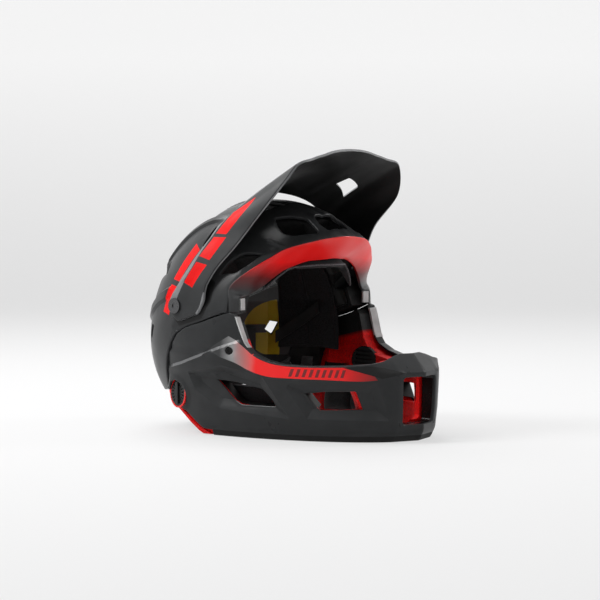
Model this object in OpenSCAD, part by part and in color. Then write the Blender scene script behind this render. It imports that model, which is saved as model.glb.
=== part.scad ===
// Full-face mountain-bike helmet with a tilting visor and a chin bar that pulls off forwards.
// Lengths are millimetres. +X is the wearer's left, -Y is the front, +Z is up.
// Outlines are drawn for a middle-sized helmet and pass through fit(), which stretches them
// to the driving sizes below. Screws, bores, bushings, walls and gaps keep their own sizes.

/* [Shell] */
// Half of the shell's greatest width
shell_half_w = 116; // [110:1:122]
// From the head's centre line to the front of the dome
shell_front = 148; // [142:1:154]
// From the head's centre line to the back of the dome
shell_rear = 127; // [121:1:133]
// Height of the crown above the widest line
crown_h = 139; // [133:1:145]
// Height of the widest line above the ground
wide_z = 90; // [87:1:93]
// Thickness of the outer shell
shell_t = 3; // [2.4:0.1:3.6]
// Thickness of the foam liner
foam_t = 24; // [20:0.5:25]
// Thickness of the low-friction inner liner
slip_t = 1; // [0.8:0.1:1.4]
// Gap left between parts that lie on each other
seat_gap = 0.3; // [0.25:0.05:0.4]
// Thickness of the brow rim
rim_t = 3; // [2.4:0.1:3.6]

/* [Visor] */
// Thickness of the visor
visor_t = 2.6; // [2:0.1:3]
// Diameter of the visor's pivot shoulder
pivot_d = 8; // [7:0.1:9]
// Diameter of the pivot screw's head
pivot_head_d = 15; // [13:0.5:16]
// Radial running clearance of the pins and shafts
run_gap = 0.05; // [0.03:0.01:0.08]
// Outside diameter of the visor's bushing
bushing_d = 12; // [11:0.5:12.5]

/* [Chin bar] */
// From the head's centre line to the tip of the chin bar
chin_reach = 199; // [193:1:205]
// Thickness of the chin bar's shell
bar_t = 3; // [2.6:0.1:3.4]
// Thickness of the chin bar's foam
bar_foam_t = 17; // [14:0.5:19]
// Half width of the mouth vent
mouth_half_w = 24; // [21:0.5:25]
// Height of the mouth vent
mouth_h = 45; // [40:1:47]
// Diameter of the latch knob
knob_d = 25; // [22:0.5:27]
// Diameter of the latch shaft
latch_shaft_d = 8; // [7:0.1:9]

/* [Fit system] */
// Diameter of the fit dial
dial_d = 26; // [23:1:27]
// Travel of the fit cradle
cradle_travel = 10; // [8:0.5:12]
// Width of the fit belts
belt_w = 14; // [12:1:16]
// Width of the strap webbing
web_w = 15; // [13:1:16]

/* [Hidden] */

// Stretch of an outline drawn for the middle size, about the head's centre line
base_half_w = 116;
base_front = 148;
base_rear = 127;
base_crown = 139;
base_wide = 90;
base_reach = 199;
function fit_x(x) = x * shell_half_w / base_half_w;
function fit_y(y) = y < 0 ? y * shell_front / base_front : y * shell_rear / base_rear;
function fit_z(z) = z > base_wide ? wide_z + (z - base_wide) * crown_h / base_crown : z * wide_z / base_wide;
function fit(p) = [fit_x(p[0]), fit_y(p[1]), fit_z(p[2])];
function fit_side(p) = [fit_y(p[0]), fit_z(p[1])];
// The head's centre line, set so that the whole stands over the middle of its footprint
head_y = (chin_reach - shell_rear) / 2;

function smooth(a, b, x) = let (t = min(1, max(0, (x - a) / (b - a)))) t * t * (3 - 2 * t);
function mirrored(p) = [-p[0], p[1], p[2]];
function reversed(v) = [for (i = [len(v) - 1:-1:0]) v[i]];

module on_head() translate([0, head_y, 0]) children();
module both_ways(side) if (side > 0) children(); else mirror([1, 0, 0]) children();

// Solid between an outer and an inner sheet of points, both given as rows that climb
module sheet_solid(outer, inner) {
    rows = len(outer);
    cols = len(outer[0]);
    points = concat([for (r = outer) each r], [for (r = inner) each r]);
    function o(i, j) = i * cols + j;
    function n(i, j) = (rows + i) * cols + j;
    t = rows - 1;
    e = cols - 1;
    faces = concat(
        [for (i = [0:t - 1], j = [0:e - 1]) each [
            [o(i, j), o(i, j + 1), o(i + 1, j + 1)], [o(i, j), o(i + 1, j + 1), o(i + 1, j)],
            [n(i, j), n(i + 1, j + 1), n(i, j + 1)], [n(i, j), n(i + 1, j), n(i + 1, j + 1)]]],
        [for (j = [0:e - 1]) each [
            [o(0, j + 1), o(0, j), n(0, j)], [o(0, j + 1), n(0, j), n(0, j + 1)],
            [o(t, j), o(t, j + 1), n(t, j + 1)], [o(t, j), n(t, j + 1), n(t, j)]]],
        [for (i = [0:t - 1]) each [
            [o(i, 0), o(i + 1, 0), n(i + 1, 0)], [o(i, 0), n(i + 1, 0), n(i, 0)],
            [o(i + 1, e), o(i, e), n(i, e)], [o(i + 1, e), n(i, e), n(i + 1, e)]]]);
    polyhedron(points, [for (f = faces) [f[2], f[1], f[0]]]);
}

// A sheet of points moved along its own normals, inwards where t is positive
function sheet_offset(g, t) = let (rows = len(g), cols = len(g[0]))
    [for (i = [0:rows - 1]) [for (j = [0:cols - 1]) let (
        a = g[max(0, i - 1)][j], b = g[min(rows - 1, i + 1)][j],
        c = g[i][max(0, j - 1)], d = g[i][min(cols - 1, j + 1)],
        n = cross(d - c, b - a)) g[i][j] - t * n / norm(n)]];

// Closed solid of stacked rings, capped flat below and by a pole above
module ring_solid(rings, pole) {
    rows = len(rings);
    m = len(rings[0]);
    foot = [for (k = [0:2]) k == 2 ? rings[0][0][2] : 0];
    points = concat([for (r = rings) each r], [foot, pole]);
    low = rows * m;
    faces = concat(
        [for (i = [0:rows - 2], j = [0:m - 1]) let (k = (j + 1) % m) each [
            [i * m + j, (i + 1) * m + k, i * m + k], [i * m + j, (i + 1) * m + j, (i + 1) * m + k]]],
        [for (j = [0:m - 1]) let (k = (j + 1) % m) each [
            [low, j, k], [(rows - 1) * m + j, low + 1, (rows - 1) * m + k]]]);
    polyhedron(points, faces);
}

// The dome's surface, moved inwards by off: azimuth az from +X to the back, elevation el
low_h = 112;
function dome(az, el, off) = let (c = cos(az), s = sin(az), e = cos(el)) [
    (shell_half_w - off) * e * c,
    ((s < 0 ? shell_front : shell_rear) - off) * e * s,
    wide_z + (el > 0 ? crown_h - off : (low_h - off)) * sin(el)];
dome_sides = 36;
dome_rows = 10;
module dome_solid(off)
    ring_solid([for (i = [0:dome_rows - 1]) let (el = -56 + 142 * i / (dome_rows - 1))
        [for (j = [0:dome_sides - 1]) dome(360 * j / dome_sides, el, off)]],
        [0, 0, wide_z + crown_h - off]);

// The hollow for the head: dome surface at the foam's inner face, straight-sided below
hollow_off = shell_t + seat_gap + foam_t;
function hollow(az, el, off) = let (c = cos(az), s = sin(az),
    e = el > 0 ? cos(el) : 1 - 0.11 * pow(el / 45, 2)) [
    (shell_half_w - hollow_off - off) * e * c,
    ((s < 0 ? shell_front - 5 : shell_rear) - hollow_off - off) * e * s,
    wide_z + (el > 0 ? (crown_h - hollow_off - off) : 100) * sin(el)];
hollow_sides = 26;
hollow_rows = 10;
module hollow_solid(off)
    ring_solid([for (i = [0:hollow_rows - 1]) let (el = -70 + 156 * i / (hollow_rows - 1))
        [for (j = [0:hollow_sides - 1]) hollow(360 * j / hollow_sides, el, off)]],
        [0, 0, wide_z + crown_h - hollow_off - off]);

// Outlines seen from the side, as [y, z]: the edge of the eyeport and the seam to the chin bar
brow_line = [[-101, 192], [-98, 190.8], [-93, 188], [-78, 181], [-69, 173], [-59, 164], [-45, 152],
    [-39.5, 144], [-41, 136], [-42, 121.5]];
seam_line = [[-42, 121.5], [-27, 116.5], [-11, 111], [10, 105], [22, 98.6], [30, 90], [36.5, 79],
    [43, 64], [47, 52]];
shell_foot = [[54, 46], [70, 40], [100, 35], [140, 33]];
module side_cut(outline, reach = 320)
    rotate([90, 0, 90]) linear_extrude(reach, center = true)
        polygon([for (p = outline) fit_side(p)]);
module side_cut_grown(outline, by, reach = 320)
    rotate([90, 0, 90]) linear_extrude(reach, center = true)
        offset(delta = by) polygon([for (p = outline) fit_side(p)]);
eyeport = concat([[-175, 200]], brow_line, [[-46, 119], [-175, 119]]);
chin_zone = concat([[-175, 125], [-44, 125]], seam_line, [[47, -30], [-175, -30]]);
below_foot = concat([[46, 52]], shell_foot, [[140, -30], [40, -30]]);

// Frustum through the shell under an outline on the dome: from so to si, shares of the radius
module dome_frustum(corners, so, si, grow_o = 1, grow_i = 1) {
    n = len(corners);
    centre = [0, 0, wide_z];
    mid = [for (k = [0:2]) [for (p = corners) p[k]] * [for (p = corners) 1] / n];
    function put(p, s, g) = let (q = fit(mid + (p - mid) * g)) centre + (q - centre) * s;
    points = concat([for (p = corners) put(p, si, grow_i)], [for (p = corners) put(p, so, grow_o)]);
    faces = concat([[for (i = [0:n - 1]) i]], [[for (i = [n - 1:-1:0]) n + i]],
        [for (i = [0:n - 1]) let (k = (i + 1) % n) [i, n + i, n + k, k]]);
    hull() polyhedron(points, faces);
}

// Vents of the shell on the right half, as corners on the dome
temple_vent = [[-103, -23, 150], [-100, -20, 157], [-89, -30, 174], [-77, -58, 177], [-83, -62, 169],
    [-98, -47, 151]];
brow_vent = [[-52, -40, 208], [-40, -53, 209], [-24, -66, 210], [-21, -87, 200], [-34, -89, 193],
    [-52, -78, 191], [-64, -56, 194]];
crown_vent = [[-38, -28, 220], [-14, -34, 224], [-14, 8, 228], [-36, 8, 222]];
upper_vent = [[-92, -12, 172], [-76, -22, 191], [-64, 14, 200], [-84, 16, 181]];
back_vent = [[-52, 30, 209], [-22, 34, 219], [-20, 72, 203], [-46, 66, 196]];
rear_slot = [[-84, 62, 154], [-72, 66, 168], [-48, 98, 150], [-58, 98, 134]];
low_slot = [[-95, 72, 104], [-88, 84, 106], [-84, 92, 92], [-92, 84, 84]];
nape_vent = [[-38, 113, 113], [-12, 124, 113], [-12, 125, 93], [-32, 119.5, 94]];
side_vents = [temple_vent, brow_vent, crown_vent, upper_vent, back_vent, rear_slot, low_slot, nape_vent];
nose_pair = [[-16, -92, 196], [-9, -94, 196], [9, -94, 196], [16, -92, 196], [14, -68, 212], [-14, -68, 212]];
module shell_vents(so, si, grow_o, grow_i) {
    for (side = [-1, 1], v = side_vents)
        dome_frustum([for (p = v) [p[0] * -side, p[1], p[2]]], so, si, grow_o, grow_i);
    dome_frustum(nose_pair, so, si, grow_o, grow_i);
}

// The visor's pivot: boss, bushing and screw lie on one axis along X
pivot = fit([0, 23, 126]);
lug_in = shell_half_w - 3.6;
lug_out = lug_in + visor_t;
boss_face = lug_in - 0.6;
boss_d = pivot_head_d + 3;
screw_core_d = pivot_d - 3;
boss_depth = 13;
module along_x(at, x0, x1, d, fn = 48)
    translate([min(x0, x1), at[1], at[2]]) rotate([0, 90, 0]) cylinder(h = abs(x1 - x0), d = d, $fn = fn);

// Shallow flat in the shell under the visor's lugs; it takes only the outermost skin
lug_outline = [[36, 124], [26, 107], [-6, 113], [-13, 122], [-19, 142], [-42, 181], [18, 181], [36, 134]];
module lug_flat() for (s = [-1, 1]) intersection() {
    side_cut(lug_outline);
    translate([s * (boss_face + 20), pivot[1], pivot[2]]) cube([40, 160, 160], center = true);
}

module outer_shell() on_head() color("#3c3d3f")
    difference() {
        dome_solid(0);
        dome_solid(shell_t);
        side_cut_grown(eyeport, rim_t + seat_gap);
        side_cut(chin_zone);
        side_cut(below_foot);
        shell_vents(1.06, 0.9, 1.12, 0.94);
        lug_flat();
        for (s = [-1, 1]) along_x(pivot, s * (boss_face - 30), s * (boss_face + 10), boss_d + 2 * seat_gap);
    }

// Chin bar: plan curve of half width bar_w and depth bar_f, by height and by the angle th,
// which is negative behind the head's centre line and 90 at the nose
bar_rear = shell_rear;
rear_w = [[0, 96], [10, 99.5], [30, 103], [60, 107.5], [72, 112], [80, 114.2], [84, 113], [90, 114.6],
    [105, 115], [122, 112.6]];
front_w = [[0, 96], [10, 99.5], [30, 103], [60, 106], [92, 106.5], [122, 106]];
bar_deep = [[0, 190], [10, 195], [30, 197], [60, 198], [95, 197]];
nose_half_w = 29;
function bar_w(th, z) = let (s = smooth(6, 20, th))
    lookup(z, rear_w) * (1 - s) + lookup(z, front_w) * s;
function bar_f(th, z) = lookup(z, bar_deep) - smooth(58, 75, th) * max(0, z - 67) * 0.9;
top_line = [[-21.7, 52], [-19.8, 64], [-16.7, 79], [-13.7, 90], [-10, 98.6], [-4.5, 105], [3.2, 111],
    [7.8, 116.3], [12.2, 121], [13.6, 120], [16.7, 92], [19.6, 82], [24.3, 76], [29.3, 73], [38, 72],
    [50.5, 73], [60, 74.5], [70, 78], [77, 82], [82, 84], [90, 84]];
foot_line = [[-21.7, 42], [-20.5, 34], [-12.3, 22], [-3.6, 7], [2, 0], [90, 0]];
trim_h = 6;
bar_th = [-21.7, -19.8, -16.7, -13.7, -10, -4.5, 3.2, 7.8, 12.2, 13.6, 16.7, 19.6, 24.3, 29.3, 35, 40.5,
    46, 52, 58, 64, 69, 74.1, 90];
bar_all = concat([for (t = bar_th) t], [for (i = [len(bar_th) - 2:-1:0]) 180 - bar_th[i]]);
// Hollowed panels round the side vents, as [angle * 3, height]
rear_panel = [[-15, 63], [30, 71], [68, 61], [95, 21], [21, 28], [-7, 45]];
front_panel = [[90, 55], [192, 57], [210, 21], [112, 22]];
function edge_in(poly, p) = min([for (i = [0:len(poly) - 1]) let (
    a = poly[i], b = poly[(i + 1) % len(poly)], d = b - a)
    (d[1] * (p[0] - a[0]) - d[0] * (p[1] - a[1])) / norm(d)]);
panel_deep = 5;
function panel_depth(th, z) = panel_deep * max(
    smooth(0, 8, edge_in(rear_panel, [th * 3, z])), smooth(0, 8, edge_in(front_panel, [th * 3, z])));
// A point of the chin bar's outside, moved inwards by off
function bar_pt(th, z, off) = th > 90 ? mirrored(bar_pt(180 - th, z, off)) : let (
    w = bar_w(th, z) - off, f = bar_f(th, z) - off,
    x = w * cos(th), corner = sqrt(1 - pow(nose_half_w / w, 2)),
    y = th < 0 ? -(bar_rear - off) * sin(th) :
        x < nose_half_w ? -f * (1.004 + (corner - 1.004) * x / nose_half_w) : -f * sin(th))
    [-x * shell_half_w / base_half_w, y * (y < 0 ? chin_reach / base_reach : 1), fit_z(z)];
function side_of(th) = th > 90 ? 180 - th : th;
function bar_top(th) = lookup(side_of(th), top_line);
function bar_foot(th) = lookup(side_of(th), foot_line);
lip_w = 9;
top_gap = 0.4;
function lip_share(th) = smooth(12.2, 14, side_of(th));
function lip_pt(th) = bar_pt(th, bar_top(th) - top_gap - 0.6 * lip_share(th), 0.05 + lip_w * lip_share(th));
bar_rows = 8;
function shell_low(th) = max(bar_foot(th), side_of(th) > -2 ? trim_h + seat_gap : 0);
function skin_low(th) = side_of(th) > -2 ? -1 : bar_foot(th) - seat_gap;
function bar_sheet(ths, skin = false) = concat(
    skin ? [[for (th = ths) bar_pt(th, skin_low(th), 0)]] : [],
    [for (i = [0:bar_rows]) [for (th = ths) let (
        lo = shell_low(th), z = lo + (bar_top(th) - 2 * top_gap - lo) * i / bar_rows)
        bar_pt(th, z, panel_depth(side_of(th), z))]],
    [[for (th = ths) skin && lip_share(th) == 0 ? bar_pt(th, bar_top(th) + bar_t, 0) : lip_pt(th)]]);

// Frustum square to the chin bar's side through an outline given as [angle, height]
module bar_frustum(corners, side, out, inn, grow_o = 1, grow_i = 1) {
    n = len(corners);
    mid = [for (k = [0:1]) [for (p = corners) p[k]] * [for (p = corners) 1] / n];
    function put(p, off, g) = let (q = mid + (p - mid) * g) bar_pt(side < 0 ? q[0] : 180 - q[0], q[1], off);
    points = concat([for (p = corners) put(p, inn, grow_i)], [for (p = corners) put(p, -out, grow_o)]);
    faces = concat([[for (i = [0:n - 1]) i]], [[for (i = [n - 1:-1:0]) n + i]],
        [for (i = [0:n - 1]) let (k = (i + 1) % n) [i, n + i, n + k, k]]);
    hull() polyhedron(points, faces);
}
rear_vent = [[5.5, 56], [11.7, 35], [14.5, 31], [26.7, 30.5], [26, 38], [22, 49], [13, 54.5]];
front_vent = [[35.5, 46.5], [44.6, 49.5], [55.4, 50], [58.5, 30], [41, 28.5]];
module bar_vents(inn, grow_o, grow_i) for (side = [-1, 1], v = [rear_vent, front_vent])
    bar_frustum(v, side, 8, inn, grow_o, grow_i);

// Mouth vent: a rounded opening through the nose, widened by grow
mouth_z = 39;
mouth_r = 4;
module mouth_hole(grow, y0, y1) translate([0, y1, fit_z(mouth_z)]) rotate([90, 0, 0])
    linear_extrude(y1 - y0) offset(r = mouth_r, $fn = 32)
        square([2 * (mouth_half_w + grow - mouth_r), mouth_h + 2 * (grow - mouth_r)], center = true);

// Latch at each end of the chin bar: local +Z points out of the side
latch_th = -14.8;
latch_z = 39;
latch_tilt = 14;
latch_at = bar_pt(180 - latch_th, latch_z, 0);
housing_d = knob_d + 4;
knob_pocket = 4;
housing_deep = knob_pocket + 2;
sleeve_d = latch_shaft_d + 4;
sleeve_deep = housing_deep + 4;
shaft_deep = 14.8;
keeper_t = 1.7;
module at_latch(side) both_ways(side) translate(latch_at) rotate([0, 90, latch_tilt]) children();
module latch_clear(d, deep) for (s = [-1, 1]) at_latch(s) translate([0, 0, -deep - seat_gap])
    cylinder(h = deep + 10, d = d + 2 * seat_gap, $fn = 48);

plug_d = 10;
plug_at = [12.6, 85];
module at_plug(side) both_ways(side) let (p = bar_pt(180 - plug_at[0], plug_at[1], 0))
    translate(p) rotate([0, 90, -22]) children();

module chin_shell() on_head() color("#3c3d3f")
    difference() {
        sheet_solid(bar_sheet(bar_all), sheet_offset(bar_sheet(bar_all), bar_t));
        bar_vents(14, 1.1, 1);
        mouth_hole(3, -chin_reach - 5, -chin_reach + 40);
        latch_clear(housing_d, housing_deep);
        for (s = [-1, 1]) at_plug(s) cylinder(h = 16, d = plug_d + 2 * seat_gap, center = true, $fn = 32);
    }

// Red foam inside the chin bar. Its rear ends are flat inside, at one place across the whole of
// their length, so that the bar slides forwards along the helmet's flat wings
core_line = [[-6, 82], [20, 88.4], [50, 88.4], [62, 91], [80, 98], [105, 104], [126, 106]];
function core_x(z) = fit_x(lookup(z, core_line));
core_gap = 1;
wing_th = -2.5;
foam_proud = 4;
foam_th = [-23.6, -21.5, -18, -13, -8, -4, -1.5, 4, 9, 12.2, 14, 16.7, 19.6, 24.3, 32, 40, 48, 56, 65, 74,
    90];
foam_all = concat([for (t = foam_th) t], [for (i = [len(foam_th) - 2:-1:0]) 180 - foam_th[i]]);
foam_rows = 4;
function foam_sheet(extra) = [for (i = [0:foam_rows]) [for (th = foam_all) let (
    lo = max(0.6, bar_foot(th) - foam_proud), hi = bar_top(th) - bar_t - 1.8,
    z = lo + (hi - lo) * i / foam_rows,
    p = bar_pt(th, z, extra ? foam_in : 0.6 + panel_depth(side_of(th), z)))
    extra && side_of(th) < wing_th ? [sign(p[0]) * (core_x(z) + core_gap), p[1], p[2]] : p]];
module chin_skin() sheet_solid(sheet_offset(bar_sheet(bar_all, true), -4),
    sheet_offset(bar_sheet(bar_all, true), bar_t + seat_gap));
module chin_liner() on_head() color("#e01818")
    difference() {
        sheet_solid(foam_sheet(false), foam_sheet(true));
        chin_skin();
        bar_vents(40, 0.94, 0.9);
        bar_vents(14, 0.96, 0.94);
        mouth_hole(-2, -chin_reach - 5, -chin_reach + 60);
        mouth_hole(3.6, -chin_reach - 5, -chin_reach + frame_deep + 2);
        latch_clear(housing_d, housing_deep);
        latch_clear(sleeve_d, sleeve_deep + 10);
        for (s = [-1, 1]) at_plug(s) cylinder(h = 20, d = plug_d + 2 * seat_gap, center = true, $fn = 32);
        for (s = [-1, 1]) duct_seat(s, duct_deep + seat_gap, 1.06);
    }

// Black rubber edge along the bottom of the chin bar
trim_th = [for (t = bar_th) if (t > -2) t];
trim_all = concat([3], trim_th, [for (i = [len(trim_th) - 2:-1:0]) 180 - trim_th[i]], [177]);
module chin_trim() on_head() color("#151515")
    sheet_solid(
        [for (z = [0, 3, trim_h]) [for (th = trim_all) bar_pt(th, z, z == 0 ? 0.8 : 0)]],
        [for (z = [0, 3, trim_h]) [for (th = trim_all) bar_pt(th, z, bar_t - seat_gap)]]);

// Deep black frame of the mouth vent
frame_deep = 24;
frame_wall = 2.6;
frame_in = 10.5;
module mouth_frame() on_head() color("#101010")
    difference() {
        mouth_hole(frame_wall, -chin_reach + frame_in, -chin_reach + frame_deep);
        mouth_hole(0, -chin_reach - 5, -chin_reach + frame_deep + 5);
    }

// Light strips on the eyeport's side edges, one on the rim above the seam, one on the chin bar below it
strip_t = 2;
function forward(v, d) = [for (p = v) p - [0, d, 0]];
module strip(outer, inner, side) both_ways(-side)
    sheet_solid([forward(outer, strip_t), forward(inner, strip_t)], [outer, inner]);
module eyeport_strip(side) on_head() color("#c9cacb")
    strip([for (z = [123.4, 134.7]) fit([-95.6, -45.1, z])],
        [for (z = [123.4, 134.9]) fit([-88.6, -44, z])], side);
strip_th = [13.8, 14.6, 15.6, 16.6, 17.6];
module rim_strip(side) on_head() color("#c9cacb")
    strip(forward([for (th = strip_th) bar_pt(th, bar_top(th) - 0.4, 0.8)], seat_gap + 0.2),
        forward([for (th = strip_th) bar_pt(th, bar_top(th) - 0.9, lip_w)], seat_gap + 0.2), side);

module bar_plug(side) on_head() color("#0c0c0c") at_plug(side)
    difference() {
        translate([0, 0, -5]) cylinder(h = 5.4, d = plug_d, $fn = 32);
        translate([0, 0, -0.6]) cylinder(h = 3, d = 4, $fn = 24);
    }

// Ribbed oval duct set in the foam beside the mouth
duct_mid = [17, 66];
duct_half = [6.5, 13];
duct_deep = 3;
function duct_oval(g) = [for (a = [0:20:340]) duct_mid + [duct_half[0] * cos(a), duct_half[1] * sin(a)] * g];
foam_in = bar_t + seat_gap + bar_foam_t;
module duct_seat(side, deep, g) bar_frustum(duct_oval(g), side, deep - foam_in, foam_in + 3);
module cheek_duct(side) on_head() color("#141414")
    difference() {
        intersection() {
            duct_seat(side, duct_deep, 1);
            duct_face(side);
        }
        for (k = [-2:2]) duct_slot(side, duct_mid[1] + 4 * k);
    }
module duct_face(side) {
    ths = [8, 12, 16, 20, 24, 28];
    function at(th, z, off) = bar_pt(side < 0 ? th : 180 - th, z, off);
    use_th = side < 0 ? ths : reversed(ths);
    sheet_solid([for (z = [40, 60, 85]) [for (th = use_th) at(th, z, foam_in - duct_deep - 2)]],
        [for (z = [40, 60, 85]) [for (th = use_th) at(th, z, foam_in)]]);
}
module duct_slot(side, z) {
    th0 = duct_mid[0] - 4.5;
    th1 = duct_mid[0] + 4.5;
    bar_frustum([[th0, z - 0.8], [th1, z - 0.8], [th1, z + 0.8], [th0, z + 0.8]], side,
        1.4 - foam_in, foam_in + 4);
}

// A pad on the chin bar's foam: crowned, with drawn-in edges and one sewn channel
function crown(u, v) = sqrt(max(0, 1 - pow(abs(2 * u - 1), 5))) * sqrt(max(0, 1 - pow(abs(2 * v - 1), 5)));
cheek_t = 12;
cheek_th = [1, 31];
cheek_zs = [13, 50];
module cheek_pad(side) {
    n = 8;
    m = 5;
    function at(i, j, face) = let (u = j / n, v = i / m,
        th = cheek_th[0] + (cheek_th[1] - cheek_th[0]) * u, z = cheek_zs[0] + (cheek_zs[1] - cheek_zs[0]) * v,
        base = foam_in + seat_gap + 0.9,
        channel = 1 - 0.35 * exp(-pow((u - 0.5) / 0.06, 2)))
        bar_pt(side < 0 ? th : 180 - th, z, base + (face ? 1.2 + cheek_t * crown(u, v) * channel : 0));
    js = side < 0 ? [for (j = [0:n]) j] : [for (j = [n:-1:0]) j];
    on_head() color("#1c1c1c")
        sheet_solid([for (i = [0:m]) [for (j = js) at(i, j, false)]],
            [for (i = [0:m]) [for (j = js) at(i, j, true)]]);
}

module latch_housing(side) on_head() color("#d81a1a") at_latch(side)
    difference() {
        union() {
            translate([0, 0, -housing_deep]) cylinder(h = housing_deep + 1, d = housing_d, $fn = 48);
            translate([0, 0, -sleeve_deep]) cylinder(h = sleeve_deep - knob_pocket, d = sleeve_d, $fn = 48);
        }
        translate([0, 0, -knob_pocket]) cylinder(h = 20, d = knob_d + 0.6, $fn = 48);
        cylinder(h = 60, d = latch_shaft_d + 2 * run_gap, center = true, $fn = 48);
    }
knob_lift = 0.2;
module latch_knob(side) on_head() color("#161616") at_latch(side)
    difference() {
        union() {
            translate([0, 0, knob_lift - knob_pocket]) cylinder(h = knob_pocket + 0.6, d = knob_d, $fn = 48);
            translate([0, 0, -shaft_deep]) cylinder(h = shaft_deep, d = latch_shaft_d, $fn = 48);
            translate([-knob_d * 0.42, -2.2, 0]) cube([knob_d * 0.84, 4.4, 2.6]);
        }
        for (a = [20:20:160], s = [-1, 1]) rotate([0, 0, a]) translate([s * knob_d * 0.36, 0, 0.4])
            cube([knob_d * 0.16, 1.2, 2], center = true);
    }
// Steel fork on the helmet's wing, open to the front, that takes the end of the latch shaft
keeper_y = [18, 44];
keeper_z = [28, 50];
shaft_y = latch_at[1] - (latch_at[0] - core_x(latch_z) + keeper_t / 2) * tan(latch_tilt);
slot_half = latch_shaft_d / 2 + seat_gap;
module wing_box(side, x0, x1, y, z, by = 0) both_ways(side)
    translate([x0, y[0] - by, fit_z(z[0]) - by])
        cube([x1 - x0, y[1] - y[0] + 2 * by, fit_z(z[1]) - fit_z(z[0]) + 2 * by]);
module latch_keeper(side) on_head() color("#9a9c9e") {
    face = core_x(latch_z);
    difference() {
        wing_box(side, face - keeper_t, face, keeper_y, keeper_z);
        along_x([0, shaft_y + 0.5, latch_at[2]], side * (face - 5), side * (face + 5), 2 * slot_half);
        both_ways(side) translate([face - 5, keeper_y[0] - 5, latch_at[2] - slot_half])
            cube([10, shaft_y + 5.5 - keeper_y[0], 2 * slot_half]);
    }
}
shaft_x = latch_at[0] - shaft_deep * cos(latch_tilt) - latch_shaft_d / 2 * sin(latch_tilt);
module keeper_clear() for (s = [-1, 1]) {
    wing_box(s, core_x(latch_z) - keeper_t - seat_gap, core_x(latch_z) + 9, keeper_y, keeper_z, seat_gap);
    both_ways(s) translate([shaft_x - 0.5, 0, latch_at[2] - slot_half - 0.5])
        cube([20, shaft_y + slot_half + 1, 2 * slot_half + 1]);
}

// The foam's wings reach down inside the chin bar and carry the keepers
wing_line = [[12, 118], [12, 62], [17, 28], [26, 21], [50, 21], [56, 46], [72, 130]];
foam_foot = [[12, 60], [17, 30], [26, 22], [50, 23], [58, 43], [70, 37], [100, 32], [150, 30]];
wing_zone = concat([[-175, 125], [-44, 125]], seam_line, [[57, 45], [52, -30], [-175, -30]]);
core_side = [for (p = core_line) [fit_x(p[1]), fit_z(p[0])]];
module bar_core() rotate([90, 0, 0]) linear_extrude(2 * chin_reach, center = true)
    polygon(concat(core_side, [for (p = reversed(core_side)) [-p[0], p[1]]]));
module eps_liner() on_head() color("#1b1b1b")
    difference() {
        dome_solid(shell_t + seat_gap);
        hollow_solid(0);
        side_cut_grown(eyeport, rim_t + 2 * seat_gap);
        difference() {
            side_cut_grown(wing_zone, seat_gap);
            intersection() {
                bar_core();
                side_cut(wing_line);
            }
        }
        side_cut(concat([[12, 70]], foam_foot, [[150, -40], [-30, -40], [-30, 70]]));
        shell_vents(1.06, 0.68, 1.05, 0.8);
        keeper_clear();
        for (s = [-1, 1]) {
            along_x(pivot, s * (boss_face - boss_depth - seat_gap), s * (boss_face + 10),
                boss_d + 2 * seat_gap);
            guide_at(s) cylinder(h = 40, d = guide_d + 2 * seat_gap, center = true, $fn = 32);
        }
    }

// Brow rim: a band from the shell's edge inwards and down, as stations from temple to middle
rim_outer = [[-106, -42, 122], [-105, -41, 136], [-102.5, -39.5, 144], [-97.7, -45, 152], [-87, -59, 164],
    [-75, -69, 173], [-62.6, -78, 181], [-38, -93, 188], [-19, -98, 190.8], [0, -101, 192]];
rim_inner = [[-98, -46.5, 122], [-97.5, -46.5, 136], [-87, -47.5, 138], [-78, -52, 143], [-70, -57, 149],
    [-60, -62, 157], [-50, -66.5, 163], [-30, -74, 169.5], [-15, -80.5, 171], [0, -83, 172]];
function both_sides(v) = concat([for (p = v) fit(p)], [for (i = [len(v) - 2:-1:0]) fit(mirrored(v[i]))]);
module brow_rim() on_head() color("#d81e1e") {
    rows = [for (k = [0:3]) [for (i = [0:2 * len(rim_outer) - 2])
        both_sides(rim_inner)[i] * (1 - k / 3) + both_sides(rim_outer)[i] * k / 3]];
    sheet_solid(rows, sheet_offset(rows, rim_t));
}

// Yellow low-friction liner with the vents cut through, on the inside of the foam
slip_foot = 66;
module slip_liner() on_head() color("#c8b400")
    difference() {
        hollow_solid(seat_gap);
        hollow_solid(seat_gap + slip_t);
        side_cut_grown(eyeport, rim_t + 6);
        side_cut_grown(chin_zone, 4);
        side_cut([[-60, slip_foot], [150, slip_foot], [150, -40], [-60, -40]]);
        shell_vents(1.06, 0.6, 1, 0.86);
        for (s = [-1, 1]) guide_at(s) cylinder(h = 60, d = guide_d + 4 * seat_gap, center = true, $fn = 32);
    }

// Pads on the slip liner between two azimuths, and between two elevations over a base line
pad_t = 7;
side_pad_t = 5;
pad_rim = 1;
pad_seat = 2 * seat_gap + slip_t + 1.5;
level = [[0, 0], [360, 0]];
module hollow_pad(az, el, t, n = 8, m = 4, base = level) {
    function at(i, j, face) = let (u = j / n, v = i / m, a = az[0] + (az[1] - az[0]) * u,
        channel = 1 - 0.3 * exp(-pow((u - 0.5) / 0.07, 2)))
        hollow(a, el[0] + (el[1] - el[0]) * v + lookup(a, base),
            pad_seat + (face ? pad_rim + t * crown(u, v) * channel : 0));
    sheet_solid([for (i = [0:m]) [for (j = [0:n]) at(i, j, false)]],
        [for (i = [0:m]) [for (j = [0:n]) at(i, j, true)]]);
}
module crown_pad() on_head() color("#202020") {
    hollow_pad([20, 160], [56, 72], pad_t - 1);
    hollow_pad([200, 340], [56, 72], pad_t - 1);
}
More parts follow.
